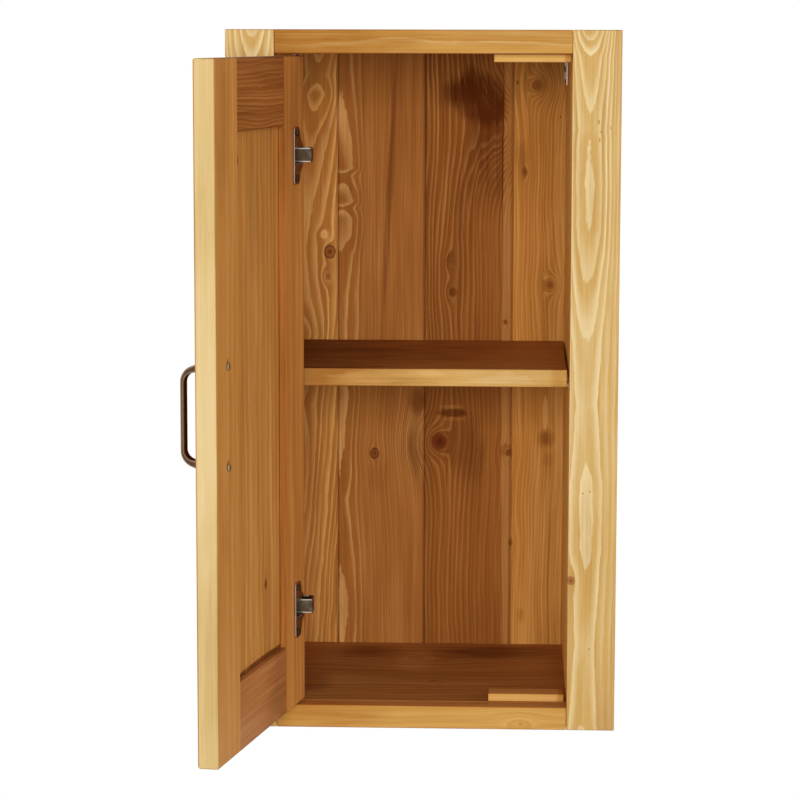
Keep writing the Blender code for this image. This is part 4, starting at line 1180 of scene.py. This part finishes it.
def turned_tree(name, stations, recessed):
    """A tree that turns one fitting from its stations and sets a copy on each point, facing outwards."""
    tree, given, out = new_group(
        name,
        {
            "Geometry": "Points",
            "Float": "Shank Radius, Head Radius, Length, Crown, Recess Width, Recess Depth",
            "Int": "Seed",
            "Material": "Material",
        },
        {"Geometry": "Fittings"},
        "GeometryNodeTree",
    )
    last = len(stations) - 1
    values = {"Vertices": TURN_STEPS, "Side Segments": last, "Radius": 1.0, "Depth": 1.0}
    bar = result(tree, "GeometryNodeMeshCylinder", values)
    x, y, z = split(result(tree, "GeometryNodeInputPosition"))
    lines = []
    for column in zip(*stations):
        lines.append(polyline(z + 0.5, [(i / last, value) for i, value in enumerate(column)]))
    shank, head, length, crown = lines
    radius = shank * given["Shank Radius"] + head * given["Head Radius"]
    height = crown * given["Crown"] - length * given["Length"]
    values = {"Geometry": bar, "Position": joined(tree, x * radius, y * radius, height)}
    shape = result(tree, "GeometryNodeSetPosition", values)

    if recessed:
        reach = given["Head Radius"] * CUTTER_REACH
        deep = given["Recess Depth"] * 2.0
        top = joined(tree, 0.0, 0.0, given["Crown"])
        for extent in ((reach, given["Recess Width"]), (given["Recess Width"], reach)):
            cube = result(tree, "GeometryNodeMeshCube", {"Size": joined(tree, *extent, deep)})
            cutter = result(tree, "GeometryNodeTransform", {"Geometry": cube, "Translation": top})
            both = {"Mesh 1": shape, "Mesh 2": cutter}
            shape = result(tree, "GeometryNodeMeshBoolean", both, operation="DIFFERENCE", solver="MANIFOLD")

    facing = result(tree, "GeometryNodeInputNamedAttribute", {"Name": "facing"}, data_type="FLOAT_VECTOR")
    aim = result(tree, "FunctionNodeAlignRotationToVector", {"Vector": facing}, axis="Z")
    values = {"Points": given["Points"], "Instance": shape, "Rotation": aim}
    copies = result(tree, "GeometryNodeInstanceOnPoints", values)
    values = {"Seed": given["Seed"], 3: math.tau}
    spin = result(tree, "FunctionNodeRandomValue", values, 1, data_type="FLOAT")
    values = {"Instances": copies, "Rotation": joined(tree, 0.0, 0.0, spin)}
    copies = result(tree, "GeometryNodeRotateInstances", values)
    plain = result(tree, "GeometryNodeRealizeInstances", {"Geometry": copies})
    smooth = result(tree, "GeometryNodeSetShadeSmooth", {"Geometry": plain})
    dressed = result(tree, "GeometryNodeSetMaterial", {"Geometry": smooth, "Material": given["Material"]})
    feed(out["Fittings"], dressed)
    return tree


def set_fittings(name, tree, spots, values, body, replaced):
    """Fittings of one kind on one body: spots are (place, facing) pairs in the world."""
    mesh = bpy.data.meshes.new(name)
    mesh.from_pydata([place for place, _ in spots], [], [])
    facing = mesh.attributes.new("facing", "FLOAT_VECTOR", "POINT")
    facing.data.foreach_set("vector", [value for _, direction in spots for value in direction])
    obj = bpy.data.objects.new(name, mesh)
    bpy.context.scene.collection.objects.link(obj)
    modifier = obj.modifiers.new("fittings", "NODES")
    modifier.node_group = tree
    for item in tree.interface.items_tree:
        if item.name in values:
            modifier[item.identifier] = values[item.name]
    made = evaluated_mesh(obj)
    made.set_sharp_from_angle(angle=ARRIS_ANGLE)
    return piece(name, made, values["Material"], body, replaced)


def seat_of(node_name, direction, crown):
    """Seat of a screw's head: the node's far end along a direction of its body's place, less its crown."""
    low, high = local_box(node_name)
    middle = (low + high) / 2
    reach = abs(Vector(direction).dot(high - low)) / 2
    spot = middle + Vector(direction) * (reach - crown)
    place = place_of(node_name)
    return place @ spot, place.to_3x3() @ Vector(direction)


# Operators


class CABINET_OT_stage(bpy.types.Operator):
    """Set the camera, the soft lamps and the plain floor"""

    bl_idname = "cabinet.stage"
    bl_label = "Stage"

    def execute(self, context):
        stage = context.scene.cabinet_stage
        context.scene.view_settings.view_transform = "Standard"
        self.set_camera(context, stage)
        self.set_world(context, stage)
        for name, (place, size, power) in LAMPS.items():
            self.add_lamp(name, place, size, getattr(stage, power))
        self.lay_floor(stage)
        return {"FINISHED"}

    def set_camera(self, context, stage):
        lens = bpy.data.cameras.new("camera")
        lens.lens = stage.lens
        lens.sensor_width = SENSOR_WIDTH
        camera = bpy.data.objects.new("camera", lens)
        camera.matrix_world = (
            Matrix.Translation(stage.camera_place)
            @ Matrix.Rotation(stage.camera_turn, 4, "Z")
            @ Matrix.Rotation(stage.camera_tilt, 4, "X")
            @ Matrix.Rotation(stage.camera_roll, 4, "Z")
        )
        context.scene.collection.objects.link(camera)
        context.scene.camera = camera

    def set_world(self, context, stage):
        """White to the eye and in reflections, and a plain ambient light on surfaces."""
        world = bpy.data.worlds.new("studio")
        world.use_nodes = True
        tree = world.node_tree
        tree.nodes.clear()
        ray = results(tree, node(tree, "ShaderNodeLightPath"))
        seen = larger(ray["Is Camera Ray"], ray["Is Glossy Ray"])
        seen = larger(seen, ray["Is Transmission Ray"])
        strength = seen * (1.0 - stage.ambient) + stage.ambient
        sky = result(tree, "ShaderNodeBackground", {"Color": WHITE, "Strength": strength})
        feed(node(tree, "ShaderNodeOutputWorld").inputs["Surface"], sky)
        context.scene.world = world

    def add_lamp(self, name, place, size, power):
        lamp = bpy.data.lights.new(name, "AREA")
        lamp.shape = "SQUARE"
        lamp.size = size
        lamp.energy = power
        obj = bpy.data.objects.new(name, lamp)
        direction = LAMP_TARGET - Vector(place)
        obj.location = place
        obj.rotation_euler = direction.to_track_quat("-Z", "Y").to_euler()
        obj.visible_camera = False
        obj.visible_glossy = False
        bpy.context.scene.collection.objects.link(obj)

    def lay_floor(self, stage):
        shape = bmesh.new()
        bmesh.ops.create_grid(shape, x_segments=1, y_segments=1, size=stage.floor_size / 2)
        low = CAD_BOX[0].z - stage.hang_height
        bmesh.ops.translate(shape, verts=shape.verts, vec=(0.0, 0.0, low))
        floor = bpy.data.objects.new("floor", plain_mesh(shape, "floor"))
        bpy.context.scene.collection.objects.link(floor)
        made, tree, shader = new_material("pale_floor")
        position = object_position(tree, CARCASS_PLACE)
        cloud = noise(position, (0.002, 0.002, 0.002), 1.0)
        pale = colours().floor
        colour = blend(cloud * 0.5 + 0.5, [FLOOR_SHADE * c for c in pale], pale)
        feed(shader.inputs["Base Color"], colour)
        shader.inputs["Roughness"].default_value = FLOOR_ROUGH
        distance = length_of(position * (1.0, 1.0, 0.0))
        rim = stage.floor_size / 2 / MILLIMETRE
        fading = ramp(distance, FLOOR_FADE[0] * rim, FLOOR_FADE[1] * rim)
        clear = result(tree, "ShaderNodeBsdfTransparent")
        faded = {0: fading, 1: Value(tree, shader.outputs[0]), 2: clear}
        surface = result(tree, "ShaderNodeMixShader", faded)
        feed(tree.nodes["Material Output"].inputs["Surface"], surface)
        floor.data.materials.append(made)


class CABINET_OT_face_frame(bpy.types.Operator):
    """Make the stiles and rails of the face frame"""

    bl_idname = "cabinet.face_frame"
    bl_label = "Face Frame"

    def execute(self, context):
        for name in ("frame_stile_left", "frame_stile_right", "frame_rail_top", "frame_rail_bottom"):
            wooden(name, sizes().board_ease)
        return {"FINISHED"}


class CABINET_OT_carcass(bpy.types.Operator):
    """Make the sides, top, bottom and door stops"""

    bl_idname = "cabinet.carcass"
    bl_label = "Carcass"

    def execute(self, context):
        panels = ("side_panel_left", "side_panel_right", "top_panel", "bottom_panel")
        for name in (*panels, "door_stop_top", "door_stop_bottom"):
            wooden(name, sizes().board_ease)
        return {"FINISHED"}


class CABINET_OT_back(bpy.types.Operator):
    """Make the tongued and grooved boards of the back"""

    bl_idname = "cabinet.back"
    bl_label = "Back"

    def execute(self, context):
        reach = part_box("back_board_4")[1].x - MILLIMETRE
        for name in ("back_board_1", "back_board_2", "back_board_3", "back_board_4"):
            wooden(name, sizes().back_ease, reach=reach)
        return {"FINISHED"}


class CABINET_OT_shelf(bpy.types.Operator):
    """Make the loose shelf and the pins that it lies on"""

    bl_idname = "cabinet.shelf"
    bl_label = "Shelf"

    def execute(self, context):
        wooden("shelf", sizes().board_ease)
        names = [f"shelf_pin_{side}_{end}" for side in ("left", "right") for end in ("front", "rear")]
        spots = []
        for name in names:
            out = (1.0, 0.0, 0.0) if "left" in name else (-1.0, 0.0, 0.0)
            spots.append(seat_of(name, out, sizes().pin_reach))
        values = {
            "Shank Radius": sizes().pin_radius, "Head Radius": sizes().pin_collar,
            "Length": sizes().pin_seat, "Crown": sizes().pin_reach, "Seed": 1,
            "Material": plated("plated_zinc"),
        }
        tree = turned_tree("shelf_pins", PIN_STATIONS, recessed=False)
        set_fittings("shelf_pins", tree, spots, values, "carcass", names)
        return {"FINISHED"}


class CABINET_OT_door(bpy.types.Operator):
    """Make the stiles, rails and panel of the door"""

    bl_idname = "cabinet.door"
    bl_label = "Door"

    def execute(self, context):
        slab = self.rounded_slab()
        for name in ("door_stile_hinge", "door_stile_lock"):
            wooden(name, sizes().door_ease, slab)
        for name in ("door_rail_top", "door_rail_bottom", "door_panel"):
            wooden(name, sizes().door_ease)
        return {"FINISHED"}

    def rounded_slab(self):
        """The door as one slab, a hair oversize, with its hinge corners and its outer face rounded."""
        low, high = local_box("door_stile_hinge")
        high.x = local_box("door_stile_lock")[1].x
        spare = Vector((1.0, 1.0, 1.0)) * SLAB_SPARE
        low -= spare
        high += spare
        shape = bmesh.new()
        bmesh.ops.create_cube(shape, size=1.0)
        bmesh.ops.scale(shape, vec=high - low, verts=shape.verts)
        bmesh.ops.translate(shape, vec=(low + high) / 2, verts=shape.verts)
        corners = [
            edge for edge in shape.edges
            if all(v.co.x < 0.0 for v in edge.verts) and edge.verts[0].co.z * edge.verts[1].co.z > 0.0
        ]
        self.round_off(shape, corners, sizes().corner_round)
        rim = [edge for edge in shape.edges if all(v.co.y < low.y + MERGE for v in edge.verts)]
        self.round_off(shape, rim, sizes().rim_round)
        shape.transform(DOOR_PLACE)
        return plain_mesh(shape, "door_slab")

    def round_off(self, shape, edges, radius):
        bmesh.ops.bevel(shape, geom=edges, offset=radius, segments=ROUND_STEPS, profile=0.5, affect="EDGES")


class CABINET_OT_hinges(bpy.types.Operator):
    """Make the hinge cups, arms, plates and pins"""

    bl_idname = "cabinet.hinges"
    bl_label = "Hinges"

    def execute(self, context):
        metal = plated("plated_nickel")
        dark = plated("dark_nickel")
        zinc = plated("plated_zinc")
        for level in ("upper", "lower"):
            pressed("hinge_plate_" + level, metal, sizes().metal_ease)
            pressed("hinge_arm_" + level, dark, sizes().arm_ease)
            pressed("hinge_cup_" + level, metal, sizes().metal_ease)
            pressed("hinge_pin_" + level, zinc, sizes().metal_ease)
        return {"FINISHED"}


class CABINET_OT_handle(bpy.types.Operator):
    """Make the bow handle"""

    bl_idname = "cabinet.handle"
    bl_label = "Handle"

    def execute(self, context):
        low, high = local_box("handle")
        mesh = self.bow(high - low)
        mesh = eased(mesh, sizes().handle_ease, sizes().handle_ease * 0.5)
        middle = (low + high) / 2
        mesh.transform(DOOR_PLACE @ Matrix.Translation((middle.x, high.y, middle.z)))
        piece("bow_handle", mesh, plated("dark_bronze"), "door", ["handle"])
        return {"FINISHED"}

    def bow(self, extent):
        """A flat bar bent to a bow, from its reach in front of the door, its width and its height."""
        given = sizes()
        outer = extent.z / 2
        inner = outer - given.handle_foot
        face = extent.y
        back = face - given.handle_bar
        rise = given.handle_leg_rise
        outline = arc_corners(
            [
                (0.0, outer, 0.0),
                (-face, outer - rise, given.handle_outer_bend),
                (-face, rise - outer, given.handle_outer_bend),
                (0.0, -outer, 0.0),
                (0.0, -inner, 0.0),
                (-back, given.handle_inner_rise - inner, given.handle_inner_bend),
                (-back, inner - given.handle_inner_rise, given.handle_inner_bend),
                (0.0, inner, 0.0),
            ],
            BOW_STEPS,
        )
        shape = bmesh.new()
        near = [shape.verts.new((-extent.x / 2, y, z)) for y, z in outline]
        far = [shape.verts.new((extent.x / 2, y, z)) for y, z in outline]
        shape.faces.new(near)
        shape.faces.new(far)
        for i in range(len(outline)):
            shape.faces.new((near[i - 1], near[i], far[i], far[i - 1]))
        bmesh.ops.recalc_face_normals(shape, faces=shape.faces)
        return plain_mesh(shape, "bow_handle")


class CABINET_OT_hangers(bpy.types.Operator):
    """Make the steel hanger plates in the top rear corners"""

    bl_idname = "cabinet.hangers"
    bl_label = "Hanger Plates"

    def execute(self, context):
        steel = plated("hanger_steel")
        for side in ("left", "right"):
            plate = pressed("hanger_plate_" + side, steel, sizes().metal_ease)
            self.bright_rim(plate.data)
        return {"FINISHED"}

    def bright_rim(self, mesh):
        """Marks the cut edges of a plate as bright as its arrises: bright cut steel, and partly a painted
        highlight.
        """
        cut = [float(abs(face.normal.x) < CUT_EDGE) for face in mesh.polygons]
        mesh.attributes["arris"].data.foreach_set("value", cut)


class CABINET_OT_screws(bpy.types.Operator):
    """Set the cross-recessed screws of hinges, hangers and handle"""

    bl_idname = "cabinet.screws"
    bl_label = "Screws"

    def execute(self, context):
        tree = turned_tree("cross_screws", SCREW_STATIONS, recessed=True)
        levels = ("upper", "lower")
        pairs = [f"{level}_{i}" for level in levels for i in (1, 2)]
        right = (1.0, 0.0, 0.0)
        left = (-1.0, 0.0, 0.0)
        rear = (0.0, 1.0, 0.0)
        hinge_side = [("hinge_plate_screw_" + pair, right) for pair in pairs]
        hinge_side += [("hinge_arm_screw_" + level, right) for level in levels]
        hangers = [(f"hanger_screw_left_{i}", right) for i in (1, 2)]
        hangers += [(f"hanger_screw_right_{i}", left) for i in (1, 2)]
        cups = [("hinge_cup_screw_" + pair, rear) for pair in pairs]
        pulls = [("handle_screw_" + level, rear) for level in levels]
        dull = plated("plated_nickel")
        dark = plated("dark_nickel")
        head = sizes().screw_head
        domed = sizes().screw_crown
        flush = sizes().flush_crown
        pull_head = sizes().handle_screw_head
        self.drive("hinge_screws", tree, hinge_side, "carcass", dull, "nickel_hinge", head, domed)
        self.drive("hanger_screws", tree, hangers, "carcass", dull, "zinc_fitting", head, flush)
        self.drive("cup_screws", tree, cups, "door", dark, "nickel_hinge", head, domed)
        self.drive("handle_screws", tree, pulls, "door", dull, "zinc_fitting", pull_head, domed)
        return {"FINISHED"}

    def drive(self, name, tree, screws, body, material, slot, head, crown):
        given = sizes()
        spots = [seat_of(node_name, direction, given.screw_crown) for node_name, direction in screws]
        values = {
            "Shank Radius": given.screw_shank, "Head Radius": head, "Length": given.screw_length,
            "Crown": crown, "Recess Width": head * RECESS_WIDTH, "Recess Depth": crown * RECESS_DEPTH,
            "Seed": len(screws), "Material": material,
        }
        set_fittings(name, tree, spots, values, body, [node_name for node_name, _ in screws])


OPERATORS = (
    CABINET_OT_stage,
    CABINET_OT_face_frame,
    CABINET_OT_carcass,
    CABINET_OT_back,
    CABINET_OT_shelf,
    CABINET_OT_door,
    CABINET_OT_hinges,
    CABINET_OT_handle,
    CABINET_OT_hangers,
    CABINET_OT_screws,
)


class CABINET_PT_panel(bpy.types.Panel):
    """Steps that dress the cabinet, in order"""

    bl_idname = "CABINET_PT_panel"
    bl_label = "Wall Cabinet"
    bl_space_type = "VIEW_3D"
    bl_region_type = "UI"
    bl_category = "Cabinet"

    def draw(self, context):
        for operator in OPERATORS:
            self.layout.operator(operator.bl_idname)


CLASSES = (CabinetSizes, CabinetColours, CabinetStage, *OPERATORS, CABINET_PT_panel)


def register():
    for made in CLASSES:
        bpy.utils.register_class(made)
    bpy.types.Scene.cabinet_sizes = PointerProperty(type=CabinetSizes)
    bpy.types.Scene.cabinet_colours = PointerProperty(type=CabinetColours)
    bpy.types.Scene.cabinet_stage = PointerProperty(type=CabinetStage)


def unregister():
    del bpy.types.Scene.cabinet_stage
    del bpy.types.Scene.cabinet_colours
    del bpy.types.Scene.cabinet_sizes
    for made in reversed(CLASSES):
        bpy.utils.unregister_class(made)


def main():
    register()
    build_groups()
    bpy.ops.cabinet.stage()
    bpy.ops.cabinet.face_frame()
    bpy.ops.cabinet.carcass()
    bpy.ops.cabinet.back()
    bpy.ops.cabinet.shelf()
    bpy.ops.cabinet.door()
    bpy.ops.cabinet.hinges()
    bpy.ops.cabinet.handle()
    bpy.ops.cabinet.hangers()
    bpy.ops.cabinet.screws()


if __name__ == "__main__":
    main()
